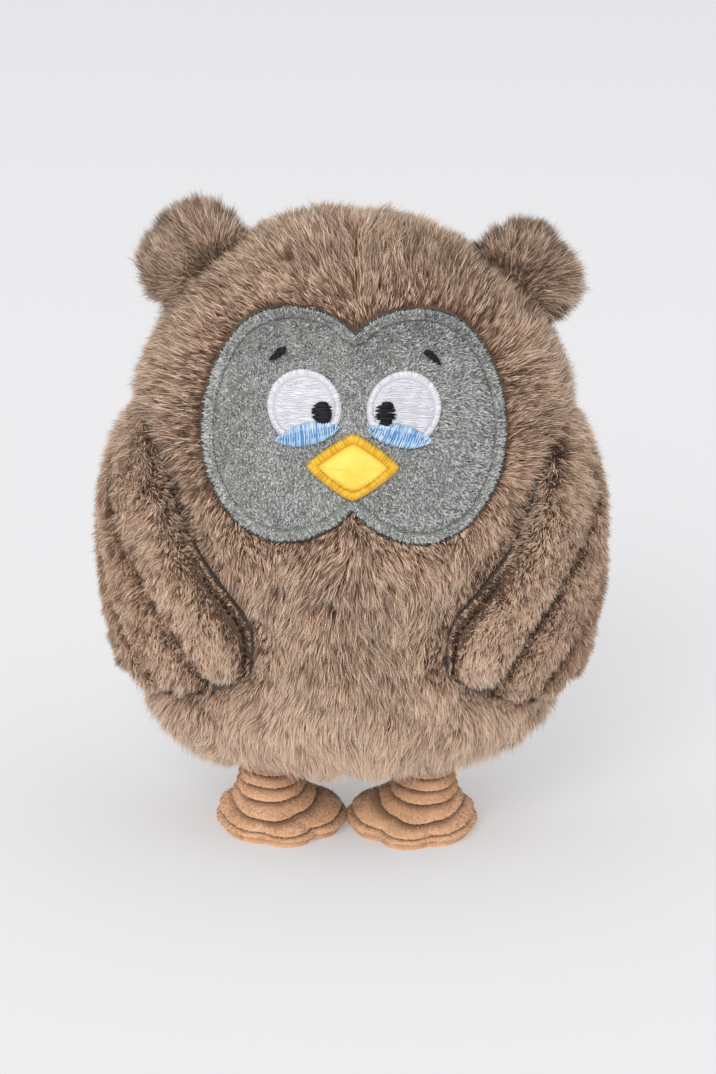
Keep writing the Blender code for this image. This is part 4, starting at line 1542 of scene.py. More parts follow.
@dataclass
class Body:
    """The body: one skin over the stuffing, and its pile in six pieces."""

    form: BodyForm
    face: Face
    coat: Coat
    finishes: Finishes
    wing: Wing
    mask_depth: float = 0.0034
    low_fullness: float = 0.0030
    shoulder_fullness: float = 0.0034
    crown_fullness: float = 0.0014

    def skin_place(self, points: Array) -> Array:
        """Return the skin's points for the points of a unit sphere.

        Args:
            points: The sphere's points.

        Returns:
            Rows of x, y and z.
        """
        polar = np.arccos(np.clip(points[:, 2], -1, 1))
        turn = np.arctan2(points[:, 0], -points[:, 1])
        out = self.form.round(turn, polar, 0.0)
        middle = np.maximum(1 - np.abs(out[:, 0]) / self.form.seam_width, 0) ** 3
        middle *= np.where(out[:, 1] < 0, np.abs(np.cos(polar)) ** 3, 1)
        side = np.maximum(1 - np.abs(out[:, 1]) / self.form.seam_width, 0) ** 3
        depth = self.form.pile + self.form.seam_depth * np.maximum(middle, side)
        under_mask = within(self.form.face_plan(out), self.face.outline) & (out[:, 1] < 0)
        depth += self.mask_depth * under_mask
        depth -= self.fullness(out)
        return self.form.round(turn, polar, -depth)

    def fullness(self, points: Array) -> Array:
        """Return how much the stuffing fills out the skin low down, at the shoulders and at the crown.

        Args:
            points: Places on the body's form.

        Returns:
            One distance a place.
        """
        x, y, z = points.T
        girth = np.hypot(x, y)
        beside = ease(np.abs(x) / np.maximum(girth, 1e-4), 0.78, 0.95)
        low = ease(z, 0.016, 0.028) * (1 - ease(z, 0.038, 0.054)) * ease(girth, 0.030, 0.044)
        shoulder = ease(z, 0.124, 0.142) * (1 - ease(z, 0.160, 0.180)) * beside
        crown = ease(z, 0.160, 0.185) * (1 - ease(x, -0.02, 0.02))
        low = low * (1 - 0.75 * ease(x, 0.0, 0.03) * (1 - ease(z, 0.028, 0.040)))
        filled = self.low_fullness * low * (0.5 + 0.5 * beside) + self.shoulder_fullness * shoulder
        return filled + self.crown_fullness * crown

    def build(self) -> None:
        """Build the skin and grow the pile on it."""
        bm = lay_grid(160, 110, lambda u, v: self.skin_place(on_ball(u, v)))
        face_out(bm)
        nodes = [f"body_{facing}_{side.word}" for facing in ("front", "back") for side in Side]
        nodes.append("body_stuffing")
        skin = cut("body_skin", bm, self.finishes.backing, "body", nodes)
        pile = Pile(length=0.0070, width=0.00020, density=8.6e6, seed=31)
        outline = evenly(drawn_in(self.face.outline, -0.0004), 120)

        def keep(roots: Array) -> Array:
            """Return the share of strands kept: none under the mask."""
            masked = within(self.form.face_plan(roots), outline) & (roots[:, 1] < 0)
            return (~masked).astype(float)

        roots, ups = pile.scatter(skin, keep)
        gap, _ = nearest(self.form.face_plan(roots), outline)
        near = np.where(roots[:, 1] < 0, gap, 1.0)
        lengths = 0.45 + 0.55 * ease(near, 0.0, 0.010)
        lengths *= 1.0 + 0.28 * (1 - ease(roots[:, 2], 0.030, 0.052))
        combs = self.coat.lie(roots, ups)
        tones = self.coat.tones(roots)
        # painted shadow: the pile darkens along the mask's edge on the upper face
        tones = tones - 0.9 * (1 - ease(near, 0.0, 0.0045)) * ease(roots[:, 2], 0.12, 0.14)
        covered, gap, away = self.under_wing(roots)
        lower = 1 - ease(roots[:, 2], 0.098, 0.122)
        lengths = np.where(covered, 0.36, lengths * (1 - 0.2 * lower * (1 - ease(gap, 0.0, 0.007))))
        pushed = np.where(covered, 0, lower * (1 - ease(gap, 0.0, 0.009)))[:, None]
        combs = unit(combs + away * pushed * 0.5)
        # painted shade: darker under the wings and beside their edges low on the body
        tones = tones - np.where(covered, 0.6, 0.5 * lower * (1 - ease(gap, 0.0, 0.003)))
        upper = roots[:, 2] > 0.128
        front = roots[:, 1] < 0
        for side in Side:
            mine = (roots[:, 0] >= 0) if side is Side.LEFT else (roots[:, 0] < 0)
            parts = {"head": upper, "belly": ~upper & front, "back": ~upper & ~front}
            for part, chosen in parts.items():
                some = chosen & mine
                piece = pile.grow(
                    f"pile_{part}_{side.word}", roots[some], ups[some], combs[some],
                    lengths[some], tones[some], self.finishes.taupe,
                )
                settle(piece, "body")

    def under_wing(self, roots: Array) -> tuple[Array, Array, Array]:
        """Find where the wings cover the body.

        Args:
            roots: Places on the body.

        Returns:
            Whether each is covered, how far it is from a wing's edge, and the way that leads from it.
        """
        plan = self.wing.outline()
        flat = self.wing.unroll(roots)
        covered = within(flat, plan)
        gap, steps = nearest(flat, plan, 0.012)
        side = unit(np.column_stack([-roots[:, 1], np.abs(roots[:, 0]), np.zeros(len(roots))]))
        side[:, 0] *= np.sign(roots[:, 0])
        away = -unit(side * steps[:, :1] + np.array([0, 0, 1.0]) * steps[:, 1:])
        return covered, gap, away


@dataclass
class Ear:
    """A stuffed ear, gathered to a seam on the head, and its pile."""

    form: BodyForm
    coat: Coat
    finishes: Finishes
    side: Side
    polar: float = 38.0
    half_width: float = 0.0168
    height: float = 0.0210
    half_thickness: float = 0.0072
    seam_width: float = 0.0260
    root: float = 0.0012
    fur_room: float = 0.0055
    lopsided: float = 0.0010
    lopsided_degrees: float = 2.5
    clearance: float = 0.0007
    corner_degrees: float = 30.0
    skin_depth: float = 0.0026

    def frame(self) -> tuple[Array, Array, Array]:
        """Find where the ear is sewn on.

        Returns:
            Its seat and its upward and inward directions.
        """
        polar = self.polar + self.lopsided_degrees * (self.side is Side.LEFT)
        angles = np.radians([polar, polar + 1, polar - 1])
        seat, after, before = self.form.round(np.full(3, math.pi / 2), angles, -0.0018)
        along = unit(after - before)
        outward = np.array([-along[2], 0, along[0]])
        outward *= math.copysign(1, outward[2])
        mirror = np.array([self.side.value, 1, 1])
        return (seat + outward * self.clearance) * mirror, outward * mirror, along * mirror

    def build(self) -> None:
        """Build the ear's skin and grow its pile."""
        seat, outward, along = self.frame()
        corner = math.radians(self.corner_degrees)
        turn = np.linspace(-corner, math.pi + corner, 44)
        centre = self.height / 2
        arc = np.column_stack([self.half_width * np.cos(turn), centre + centre * np.sin(turn)])
        base = np.linspace(-self.seam_width / 2, self.seam_width / 2, 12)
        base = np.column_stack([base, np.full(12, -self.root)])
        room = self.fur_room + self.lopsided * self.side.value
        arc -= unit(arc - (0, centre)) * room * ease(arc[:, 1], -0.002, 0.012)[:, None]
        count = 72
        outline = evenly(np.vstack([arc, base]), count)

        def place(u: Array, v: Array) -> Array:
            """Return the ear's points.

            Args:
                u: Places round it.
                v: Places from its front's middle over its rim to its back's middle.

            Returns:
                Rows of x, y and z.
            """
            rim = follow(u * count, np.arange(count + 1), closed(outline))
            share = np.sin(v * math.pi)[:, None]
            flat = (0, centre) + (rim - (0, centre)) * share
            facing = np.cos(v * math.pi)
            swell = (self.half_thickness - self.skin_depth) * np.sign(facing) * np.abs(facing) ** 0.75
            swell *= 0.55 + 0.45 * ease(flat[:, 1], -0.002, 0.007)
            points = seat + along * flat[:, :1] + outward * flat[:, 1:]
            return points + np.array([0, -1, 0]) * swell[:, None]

        bm = lay_grid(count, 28, place)
        face_out(bm)
        word = self.side.word
        body = f"ear_{word}"
        nodes = [f"ear_{word}_front", f"ear_{word}_back"]
        skin = cut(f"ear_{word}_skin", bm, self.finishes.backing, body, nodes)
        pile = Pile(
            length=0.0080, width=0.00023, density=30e6, stand=0.50, lean=0.95, unrest=0.28,
            tuft_pull=0.35, seed=50 + self.side.value,
        )
        roots, ups = pile.scatter(skin, lambda points: np.ones(len(points)))
        height = (roots - seat) @ outward
        radial = unit(roots - seat + outward * 0.004 - along * 0.001)
        swirl = 0.35 * ripple(roots, size=0.012, seed=15)[:, None]
        combs = unit(radial + swirl * along + np.array([0, 0, 0.1]))
        lengths = 0.72 + 0.28 * ease(height, 0.0, 0.008)
        # painted shade near the seam on the head, and painted light on the ear's outward-facing side
        tones = self.coat.tones(roots) - 0.3 - 1.2 * (1 - ease(height, 0.0, 0.008))
        tones += 2.2 * ease(ups[:, 0] * self.side.value, 0.70, 0.97)
        piece = pile.grow(f"pile_ear_{word}", roots, ups, combs, lengths, tones, self.finishes.taupe)
        settle(piece, body)


@dataclass
class Wing:
    """A quilted wing of four feathers, its pile, its topstitching and its lining."""

    form: BodyForm
    coat: Coat
    finishes: Finishes
    side: Side
    top_share: float = 0.657
    length: float = 0.087
    thickness: float = 0.0075
    clearance: float = -0.0006
    sewn_depth: float = 0.0018
    lining: float = 0.0012
    tip_length: float = 0.0065
    root_drop: float = 0.006
    lip: float = 0.0014
    feathers: int = 4
    roll_radius: float = 0.065
    pile_room: float = 0.0018
    thinnest: float = 0.0003
    seam_reach: float = 0.0058
    edge_degrees: tuple = (
        (67, 74, 84, 94, 104), (54, 76, 91, 103, 114), (46, 69, 88, 103, 117),
        (36, 56, 80, 98, 114), (26, 46, 66, 85, 104), (25, 36, 50, 66, 86),
    )
    reach_shares: tuple = (0.87, 0.953, 1.0, 0.976)

    def lay(self, u: Array, v: Array) -> tuple[Array, Array, Array, Array]:
        """Work out the wing's plan for places across and down it.

        Args:
            u: Places across all feathers, 0 at the front edge.
            v: Places down, 0 at the shoulder.

        Returns:
            Turns from the front, heights, each place's distance to the nearest seam, and its distance to
            the outer edge.
        """
        rows, steps, last = len(self.edge_degrees) - 1, 16, self.feathers - 1
        feather = np.minimum((u * self.feathers).astype(int), last)
        across = u * self.feathers - feather
        table = through(self.edge_degrees, steps)
        edges = follow(v * rows * steps, np.arange(len(table)), table)
        index = np.arange(len(u))
        near, far = edges[index, feather], edges[index, feather + 1]
        turn = np.radians(near * (1 - across) + far * across)
        top = self.form.floor_clearance + self.form.height * self.top_share
        shoulder = top - self.root_drop * (2 * u - 1) ** 2
        shares = np.array(self.reach_shares)
        own = shares[feather]
        before, after = shares[np.maximum(feather - 1, 0)], shares[np.minimum(feather + 1, last)]
        neighbour = np.where(across < 0.5, before, after)
        blend = np.maximum(1 - 2 * np.minimum(across, 1 - across), 0) ** 6
        reach = self.length * (own * (1 - blend / 2) + neighbour * blend / 2) - self.tip_length
        tip = top - reach - self.tip_length * np.sqrt(np.maximum(1 - (2 * across - 1) ** 2, 0))
        level = shoulder + (tip - shoulder) * v
        radius = self.form.half_width * self.form.girth(level, 0.003)
        width = np.radians(far - near) * radius * 0.93
        front, behind, far_off = across * width, (1 - across) * width, 1.0
        at_front, at_back = feather == 0, feather == last
        outer = np.minimum(np.where(at_front, front, far_off), np.where(at_back, behind, far_off))
        outer = np.minimum(outer, level - tip)
        inner = np.minimum(np.where(at_front, far_off, front), np.where(at_back, far_off, behind))
        return turn, level, np.minimum(inner, outer - self.lip), outer

    def puff(self, u: Array, v: Array) -> Array:
        """Return how far the quilted skin stands above the lining.

        Args:
            u: Places across all feathers.
            v: Places down.

        Returns:
            One height a place.
        """
        _, _, seam, _ = self.lay(u, v)
        full = self.thickness - self.pile_room
        swell = np.sqrt(np.maximum(1 - (1 - np.clip(seam / self.seam_reach, 0, 1)) ** 2, 0))
        root = ease(v, 0.02, 0.36)
        slim = 1 - 0.42 * ease(u, 0.30, 0.60) * ease(v, 0.50, 0.90)
        return self.thinnest + (full - self.thinnest) * swell * (0.04 + 0.96 * root) * slim

    def outline(self) -> Outline:
        """Unroll the wing onto a plane, turns as widths at the body's usual girth.

        Returns:
            Its closed outline.
        """
        run, ends = np.linspace(0, 1, 24), np.ones(24)
        u = np.concatenate([run * 0, np.linspace(0, 1, 60), ends, run[::-1]])
        v = np.concatenate([run, np.ones(60), run[::-1], ends * 0])
        turn, level, _, _ = self.lay(np.clip(u, 0, 0.9999), v)
        return np.column_stack([turn * self.roll_radius, level])

    def unroll(self, points: Array) -> Array:
        """Return the places of points on the same plane."""
        turn = np.arctan2(np.abs(points[:, 0]), -points[:, 1])
        return np.column_stack([turn * self.roll_radius, points[:, 2]])

    def surface(self, u: Array, v: Array, raised: Array | float) -> Array:
        """Return points above the wing's underside.

        Args:
            u: Places across all feathers.
            v: Places down.
            raised: How far above the underside.

        Returns:
            Rows of x, y and z.
        """
        turn, level, _, _ = self.lay(u, v)
        sunk = self.sewn_depth * (1 - ease(v, 0.0, 0.3))
        points = self.form.side(turn, level, self.clearance - sunk + raised)
        points[:, 0] *= self.side.value
        return points

    def build(self) -> None:
        """Build the skin, lining, topstitching and pile."""
        word = self.side.word
        body = f"wing_{word}"
        base = self.lining + 0.0003
        backing = self.finishes.backing

        def quilted(u: Array, v: Array) -> Array:
            """Return the closed skin's points: v runs up the back, then down the quilted side."""
            down = np.abs(2 * v - 1)
            return self.surface(u, down, base + np.where(v < 0.5, 0.0, self.puff(u, down)))

        bm = lay_grid(96, 150, quilted)
        close_up(bm)
        cut(f"wing_{word}_skin", bm, backing, body, [f"wing_{word}_outer"])

        def lined(u: Array, v: Array) -> Array:
            """Return the closed lining's points."""
            down = np.abs(2 * v - 1)
            return self.surface(u, down, np.where(v < 0.5, 0.0, self.lining))

        bm = lay_grid(48, 60, lined)
        close_up(bm)
        cut(f"wing_{word}_underside", bm, backing, body, [f"wing_{word}_lining"])
        self.grow_pile(body, base)
        self.topstitch(body, base)

    def spread(self, density: float, raised: Callable) -> tuple[Array, Array, Array, Array]:
        """Spread the strands' roots evenly over the quilted side.

        Args:
            density: Strands a square metre.
            raised: Gives the skin's height above the wing's underside for places across and down.

        Returns:
            The roots' places across and down, the roots, and the skin's directions there.
        """
        rng = np.random.default_rng(90 + self.side.value)
        most_area, step = 0.045, 0.004
        u, v = rng.uniform(0.001, 0.999, (2, int(density * most_area)))
        root = self.surface(u, v, raised(u, v))
        ahead = np.minimum(v + step, 1.0)
        beside = np.minimum(u + step, 1.0)
        down = self.surface(u, ahead, raised(u, ahead)) - root
        over = self.surface(beside, v, raised(beside, v)) - root
        normal = np.cross(over, down)
        normal = normal / (np.maximum(ahead - v, 1e-4) * np.maximum(beside - u, 1e-4))[:, None]
        area = np.linalg.norm(normal, axis=1)
        kept = rng.uniform(0, 1, len(u)) < area / most_area
        normal = unit(normal[kept])
        normal *= np.sign((normal * root[kept] * (1, 1, 0)).sum(axis=1, keepdims=True))
        return u[kept], v[kept], root[kept], normal

    def grow_pile(self, body: str, base: float) -> None:
        """Grow the wing's pile, short over its seams, with painted shade in the grooves and along the front
        edge and painted light over the wing and on its ridges.

        Args:
            body: The body it rides on.
            base: How far the skin's underside is raised.
        """
        pile = Pile(
            length=0.0046, width=0.00021, density=11.5e6, stand=0.74, lean=0.62, unrest=0.18,
            seed=70 + self.side.value,
        )
        u, v, roots, ups = self.spread(pile.density, lambda a, b: base + self.puff(a, b))
        _, _, seam, outer = self.lay(u, v)
        root = ease(v, 0.10, 0.32)
        lower = ease(v, 0.40, 0.62)
        edge = outer < self.lip + 0.004
        lengths = 0.22 + 0.78 * ease(seam, 0.0002, np.where(edge, 0.0022, 0.0044))
        lengths = np.where(outer < self.lip, 0.45, lengths)
        lengths = np.where(edge, np.maximum(lengths, 1.05 * (1 - lower)), lengths)
        lengths = lengths * root + (1 - root) * (1.0 + 0.5 * ease(v, 0.0, 0.1))
        step = 0.01
        after, before = np.minimum(v + step, 1), np.maximum(v - step, 0)
        ahead = self.surface(u, after, 0.0) - self.surface(u, before, 0.0)
        swirl = 0.45 * ripple(roots, size=0.013, seed=17)[:, None]
        combs = unit(unit(ahead) + swirl * np.array([1.0, 0.3, 0]))
        after, before = np.minimum(u + step, 1), np.maximum(u - step, 0)
        beside = self.surface(after, v, 0.0) - self.surface(before, v, 0.0)
        over = (np.exp(-((outer / 0.0022) ** 2)) * np.where(u < 0.5, -1, 1) * (v < 0.93))[:, None]
        combs = unit(combs + unit(beside) * over * 1.6)
        ups = unit(ups + unit(beside) * over * 0.8)
        seamed = np.where(edge, lower, root)
        upright = (seamed * (1 - ease(seam, 0.0012, 0.0045)) * (outer > self.lip))[:, None]
        ups = unit(ups * (1 - 0.65 * upright) + unit(roots * (1, 1, 0)) * 0.8 * upright)
        # painted shade in the grooves and along the front edge; painted light lifts the whole wing and its
        # ridges
        groove_shade = seamed * (1 - ease(np.abs(seam), 0.0, np.where(edge, 0.0010, 0.0030)))
        tones = self.coat.tones(roots) + 1.7 - 4.6 * groove_shade
        tones -= 1.6 * (1 - ease(outer, 0.0008, 0.0070)) * (u < 0.5)
        tones += 0.9 * ease(seam, 0.0025, 0.006) * root
        name = f"pile_wing_{self.side.word}"
        piece = pile.grow(name, roots, ups, combs, lengths, tones, self.finishes.taupe)
        settle(piece, body)

    def topstitch(self, body: str, base: float) -> None:
        """Lay brown stitches along every seam between the feathers and round their tips.

        Args:
            body: The body they ride on.
            base: How far the skin's underside is raised.
        """
        lines = []
        for k in range(1, self.feathers):
            lines.append((np.full(90, k / self.feathers), np.linspace(0.50, 0.985, 90)))
        rows = np.linspace(0.58, 0.93, 90)
        for start, end in ((0.0, 0.12), (1.0, 0.88)):
            lines.append((np.array([self.seam_place(start, end, row) for row in rows]), rows))
        for k in range(self.feathers):
            u = np.linspace(k / self.feathers + 0.004, (k + 1) / self.feathers - 0.004, 40)
            lines.append((u, np.array([self.tip_place(spot) for spot in u])))
        needle = Needle(thickness=0.0011, rise=0.0006, seed=5)
        pitch, length = 0.0021, 0.0019
        for u, v in lines:
            points, above = (self.surface(u, v, base + raised) for raised in (0.0011, 0.0021))
            run = length_along(points)
            marks = np.arange(0, run[-1] - 0.0018, pitch)
            ends = follow(marks + length, run, points)
            for start, end, top in zip(follow(marks, run, points), ends, follow(marks, run, above)):
                needle.stitch(start, end, top - start)
        piece = needle.finish(f"wing_{self.side.word}_topstitch", self.finishes.brown_thread)
        settle(piece, body)

    def seam_place(self, edge: float, inward: float, v: float) -> float:
        """Return how far across the outer seam runs at a place down the wing.

        Args:
            edge: The wing's edge, 0 in front or 1 behind.
            inward: A place well inside it.
            v: The place down.

        Returns:
            The place across.
        """
        u = np.linspace(edge, inward, 60)
        _, _, _, outer = self.lay(u, np.full(60, v))
        return float(u[np.argmin(np.abs(outer - self.lip))])

    def tip_place(self, u: float) -> float:
        """Return how far down the seam round a feather's tip runs at a place across.

        Args:
            u: The place across.

        Returns:
            The place down.
        """
        v = np.linspace(0.8, 1.0, 80)
        _, _, _, outer = self.lay(np.full(80, u), v)
        return float(v[np.argmin(np.abs(outer - self.lip))])


@dataclass
class Leg:
    """A leg of ribbed cloth that spreads into a foot with three toes, and its sole."""

    form: BodyForm
    finishes: Finishes
    side: Side
    foot_gap: float = 0.0034
    foot_half_width: float = 0.0186
    foot_front: float = 0.0170
    heel: float = 0.0100
    ankle: float = 0.0080
    hip_outward: float = 0.0040
    hip_forward: float = 0.0110
    seam_half_width: float = 0.0070
    seam_half_depth: float = 0.0004
    taper_share: float = 0.12
    sole: float = 0.0018
    rib_ups: tuple = (0.0, 0.167, 0.357, 0.509, 0.638, 0.78, 0.90)
    rib_depth: float = 0.0034
    dip: float = 0.6
    heel_dip: float = 0.15
    toe_spacing: float = 54.0
    toe_turn: float = 10.0
    toe_notch: float = 0.0030

    def ring(self, turn: Array, up: Array, bulge: Array) -> Array:
        """Return the leg's points round it and up it.

        Args:
            turn: Angles from the front.
            up: Shares of the way from the sole to the hip.
            bulge: How far the ribs stand out.

        Returns:
            Rows of x, y and z.
        """
        side = self.side.value
        foot = side * (self.foot_gap / 2 + self.foot_half_width)
        across = foot + side * self.hip_outward
        gap = 0.0003
        skin = self.form.pile - 0.0006
        hip = self.form.underside(np.array([across]), np.array([self.hip_forward]))[0] + skin
        sides = 1 / (1 + (up / 0.31) ** 4.0)
        ahead = 1 / (1 + (up / 0.46) ** 4.5)
        pinch = np.maximum((up - 1 + self.taper_share) / self.taper_share, 0) ** 0.7
        half = self.ankle + (self.foot_half_width - self.ankle) * sides
        half = half + (self.seam_half_width - self.ankle) * pinch
        flatter = (self.seam_half_depth - self.ankle) * pinch
        front = self.ankle + self.foot_front * ahead + flatter
        back = self.ankle + self.heel * sides + flatter
        degrees = np.abs(np.degrees(turn) * side + self.toe_turn)
        between = 1 - np.abs(np.cos(math.pi * degrees / self.toe_spacing))
        notch = np.where(degrees > self.toe_spacing, 0, self.toe_notch * between * sides)
        out = bulge - notch
        x = across + (foot - across) * sides + (half + out) * np.sin(turn)
        y = -self.hip_forward - (np.where(np.cos(turn) > 0, front, back) + out) * np.cos(turn)
        seat = hip + (self.form.underside(x, y) + skin - hip) * pinch
        low = self.sole + gap
        tilt = np.where(y < -self.hip_forward, self.dip, self.heel_dip)
        dip = tilt * (1 - up) * (-self.hip_forward - y) / (self.ankle + self.foot_front)
        return np.column_stack([x, y, low + (seat - low) * up * (1 - dip)])

    def roll(self, up: Array, turn: Array) -> Array:
        """Return how far the rolls of cloth stand out, each fullest at its lower side.

        Args:
            up: Shares of the way from the sole to the hip.
            turn: Angles round the leg.

        Returns:
            One distance a place.
        """
        place = self.tier(up, turn)
        phase = (place % 1.0) ** 0.48
        full = np.sqrt(np.maximum(1 - (2 * phase - 1) ** 2, 0))
        depth = self.rib_depth * (1 - 0.35 * ease(up, 0.3, 0.8))
        above = ease(up, self.rib_ups[-1], self.rib_ups[-1] + 0.02)
        return depth * (full - 0.5) * (1 - above) - 0.0008 * above

    def tier(self, up: Array, turn: Array) -> Array:
        """Number the rolls of cloth.

        Args:
            up: Shares of the way from the sole to the hip.
            turn: Angles round the leg.

        Returns:
            The number of the roll at each place and how far up that roll it is, in one figure.
        """
        marks = np.array(self.rib_ups)
        shifted = np.clip(up + 0.006 * np.sin(turn * 3 + up * 9) * (up > 0.02), 0, 1)
        return np.interp(shifted, marks, np.arange(len(marks)))

    def grow_velour(self, cover: Piece, sole: Piece) -> None:
        """Grow the cover's very short pile, with painted shade down in the folds and under each roll's lip
        and painted light on the crests.

        Args:
            cover: The ribbed cover.
            sole: The sole, whose edge has the same pile.
        """
        word = self.side.word
        pile = Pile(
            length=0.0007, width=0.00024, density=15e6, stand=0.65, lean=0.6, unrest=0.35,
            tuft_size=0.0009, tuft_pull=0.15, tuft_unrest=0.2, tuft_tone=0.14, tone_spread=0.24,
            fine_share=1.0, seed=80 + self.side.value,
        )
        turn, up = np.meshgrid(np.linspace(-math.pi, math.pi, 160), np.linspace(0, 0.95, 180))
        turn, up = turn.ravel(), up.ravel()
        tree = KDTree(len(up))
        for number, point in enumerate(self.ring(turn, up, self.roll(up, turn))):
            tree.insert(Vector(point), number)
        tree.balance()
        phases = self.tier(up, turn) % 1.0
        phase = phases[[tree.find(vert.co)[1] for vert in cover.data.vertices]]
        # painted shade on the cover's cloth: darker up under the lip of the roll above and at the fold below
        crest = (1 - 0.9 * ease(phase, 0.50, 0.96)) * (0.3 + 0.7 * ease(phase, 0.0, 0.06))
        cover.data.attributes.new("crest", "FLOAT", "POINT").data.foreach_set("value", crest)
        roots, ups = pile.scatter(cover, lambda points: (points[:, 2] > self.sole + 0.0004).astype(float))
        rim, side_ups = pile.scatter(sole, lambda points: (points[:, 2] > 0.0003).astype(float))
        outside = np.abs(side_ups[:, 2]) < 0.6
        roots, ups = np.vstack([roots, rim[outside]]), np.vstack([ups, side_ups[outside]])
        phase = phases[[tree.find(Vector(root))[1] for root in roots]]
        # painted light and shade in the pile: lightest on the crest, darker up under the roll above, darkest
        # in the folds, with random tone
        fold = 1 - ease(np.minimum(phase, (1 - phase) * 0.5), 0.01, 0.09)
        fold = np.where(roots[:, 2] < self.sole + 0.001, 0, fold)
        tones = 3.6 - 5.4 * ease(phase, 0.42, 0.94) - 5.5 * fold + 0.4 * ripple(roots, size=0.006, seed=19)
        combs = np.tile([0.0, -0.3, -1.0], (len(roots), 1))
        lengths = 0.3 + 0.7 * ease(phase, 0.02, 0.16) * (1 - ease(phase, 0.6, 0.95))
        coat = pile.grow(f"leg_{word}_velour", roots, ups, combs, lengths, tones, self.finishes.velour)
        settle(coat, f"leg_{word}")

    def build(self) -> None:
        """Build the ribbed cover and the sole."""
        word = self.side.word
        body = f"leg_{word}"
        bottom = 0.06

        def ribbed(u: Array, v: Array) -> Array:
            """Return the cover's points.

            Args:
                u: Places round it.
                v: Places from the middle of its bottom out to the rim and up to the hip.

            Returns:
                Rows of x, y and z.
            """
            turn = (u * 2 - 1) * math.pi
            up = np.clip((v - bottom) / 0.94, 0, 1)
            points = self.ring(turn, up, self.roll(up, turn) * ease(up, -0.02, 0.012))
            floor = self.ring(turn, np.zeros(len(up)), np.zeros(len(up)))
            heart = np.array([floor[:, 0].mean(), floor[:, 1].mean(), floor[0, 2]])
            share = np.clip(v / bottom, 0, 1)[:, None]
            return np.where(v[:, None] < bottom, heart + (floor - heart) * share, points)

        bm = lay_grid(112, 200, ribbed)
        close_up(bm)
        nodes = [f"leg_{word}_cover", f"leg_{word}_stuffing"]
        rolled, ribbing = self.finishes.rolled, self.finishes.ribbed
        cover = cut(f"leg_{word}_ribs", bm, rolled, body, nodes)
        count = 96
        turn = np.linspace(-math.pi, math.pi, count, endpoint=False)
        rim = self.ring(turn, np.zeros(count), np.zeros(count))[:, :2]
        middle = rim.mean(axis=0)

        def flat(u: Array, v: Array) -> Array:
            """Return the sole's points.

            Args:
                u: Places round it.
                v: Places from its underside's middle over its rim to its top's middle.

            Returns:
                Rows of x, y and z.
            """
            edge = follow(u * count, np.arange(count + 1), closed(rim))
            share = np.clip(np.minimum(v, 1 - v) / 0.3, 0, 1)
            height = ease(v, 0.3, 0.7) * self.sole
            return np.column_stack([middle + (edge - middle) * share[:, None], height])

        bm = lay_grid(count, 20, flat)
        face_out(bm)
        sole = cut(f"leg_{word}_base", bm, ribbing, body, [f"leg_{word}_sole"])
        self.grow_velour(cover, sole)


# Studio


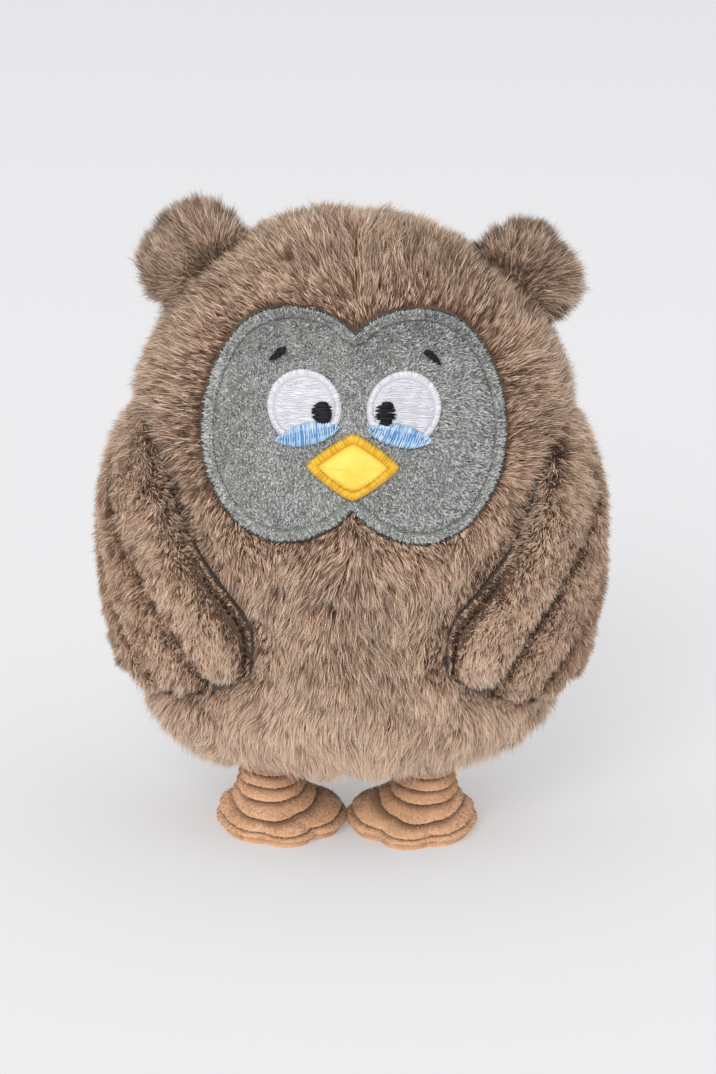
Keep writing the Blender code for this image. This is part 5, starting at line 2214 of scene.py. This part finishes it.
@dataclass(frozen=True)
class Studio:
    """A plain pale floor, which glows a little as painted light and darkens with distance as painted shade,
    soft light and the camera.
    """

    elevation: float = 15.0
    roll: float = 1.1
    distance: float = 1.1
    aim: tuple = (0.00186, -0.00253, 0.09056)
    view_height: float = 0.333
    sensor: float = 24.0
    even_light: float = 0.80
    sun_light: float = 1.5
    sun_width: float = 30.0
    sun_degrees: tuple = (61.0, 0.0, -14.0)
    floor_glow: float = 0.31

    def build(self) -> None:
        """Build the floor, the lights, the world and the camera."""
        self.lay_floor()
        self.light_world()
        self.hang_sun()
        self.set_camera()
        bpy.context.scene.view_settings.view_transform = "Standard"

    def lay_floor(self) -> None:
        """Lay the floor that the owl stands on; it glows a little, painted light that lightens the owl's
        shadow, and is painted darker with distance.
        """
        material, shader, add = begin("floor_paper")
        place = add("ShaderNodeTexCoord").outputs["Object"]
        parts = add("ShaderNodeSeparateXYZ", {"Vector": place})
        depth = add("ShaderNodeMapRange", {"Value": parts.outputs["Y"], "From Min": -0.2, "From Max": 2.4})
        # painted shade: the floor darkens with distance
        stops = ((0.0, linear(237, 237, 239)), (0.15, linear(235, 235, 237)), (1.0, linear(226, 226, 229)))
        colour = ramp(add, depth.outputs["Result"], stops)
        # painted light: part of the floor's brightness is glow, which lightens the shadow on it
        dimmed = add("ShaderNodeVectorMath", {0: colour, 1: (0.70, 0.70, 0.70)}, operation="MULTIPLY")
        plug(shader, {
            "Base Color": dimmed.outputs[0], "Roughness": 0.95, "Emission Color": colour,
            "Emission Strength": self.floor_glow, "Specular IOR Level": 0.0,
        })
        bm = bmesh.new()
        bmesh.ops.create_grid(bm, x_segments=1, y_segments=1, size=12)
        floor = finish_piece("floor", bm, material)

    def light_world(self) -> None:
        """Light the scene evenly from all round, and show a pale backdrop to the camera."""
        world = bpy.data.worlds.new("studio")
        bpy.context.scene.world = world
        world.use_nodes = True
        world.node_tree.nodes.clear()
        add = adder(world.node_tree)
        rays = add("ShaderNodeLightPath").outputs
        even = add("ShaderNodeBackground", {"Color": (1, 1, 1, 1), "Strength": self.even_light})
        shown = add("ShaderNodeBackground", {"Color": linear(238, 239, 242)})
        seen = add(
            "ShaderNodeMath", {0: rays["Is Camera Ray"], 1: rays["Is Glossy Ray"]}, operation="MAXIMUM"
        )
        mixed = add("ShaderNodeMixShader", {0: seen.outputs[0], 1: even.outputs[0], 2: shown.outputs[0]})
        add("ShaderNodeOutputWorld", {"Surface": mixed.outputs[0]})

    def hang_sun(self) -> None:
        """Hang a broad, soft lamp high in front and a little to the left, which lights the floor evenly."""
        data = bpy.data.lights.new("window", "SUN")
        data.energy = self.sun_light
        data.angle = math.radians(self.sun_width)
        lamp = bpy.data.objects.new("window", data)
        lamp.rotation_euler = [math.radians(turn) for turn in self.sun_degrees]
        bpy.context.scene.collection.objects.link(lamp)

    def set_camera(self) -> None:
        """Set the camera at the photograph's angle and distance."""
        tilt = math.radians(self.elevation)
        forward = Vector((0, math.cos(tilt), -math.sin(tilt)))
        data = bpy.data.cameras.new("camera")
        data.sensor_fit = "VERTICAL"
        data.sensor_height = self.sensor
        data.lens = self.sensor * self.distance / self.view_height
        data.clip_start = 0.05
        data.clip_end = 60
        camera = bpy.data.objects.new("camera", data)
        camera.location = Vector(self.aim) - forward * self.distance
        camera.rotation_euler = (math.radians(90 - self.elevation), 0, 0)
        camera.rotation_euler.rotate_axis("Z", math.radians(self.roll))
        bpy.context.scene.collection.objects.link(camera)
        bpy.context.scene.camera = camera


def main() -> None:
    """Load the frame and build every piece."""
    logging.basicConfig(level=logging.INFO, format="%(name)s: %(message)s")
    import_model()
    Studio().build()
    form = BodyForm()
    finishes = Finishes()
    face = Face(form, finishes)
    coat = Coat(form)
    face.build()
    Body(form, face, coat, finishes, Wing(form, coat, finishes, Side.LEFT)).build()
    for side in Side:
        Ear(form, coat, finishes, side).build()
        Wing(form, coat, finishes, side).build()
        Leg(form, finishes, side).build()


if __name__ == "__main__":
    main()
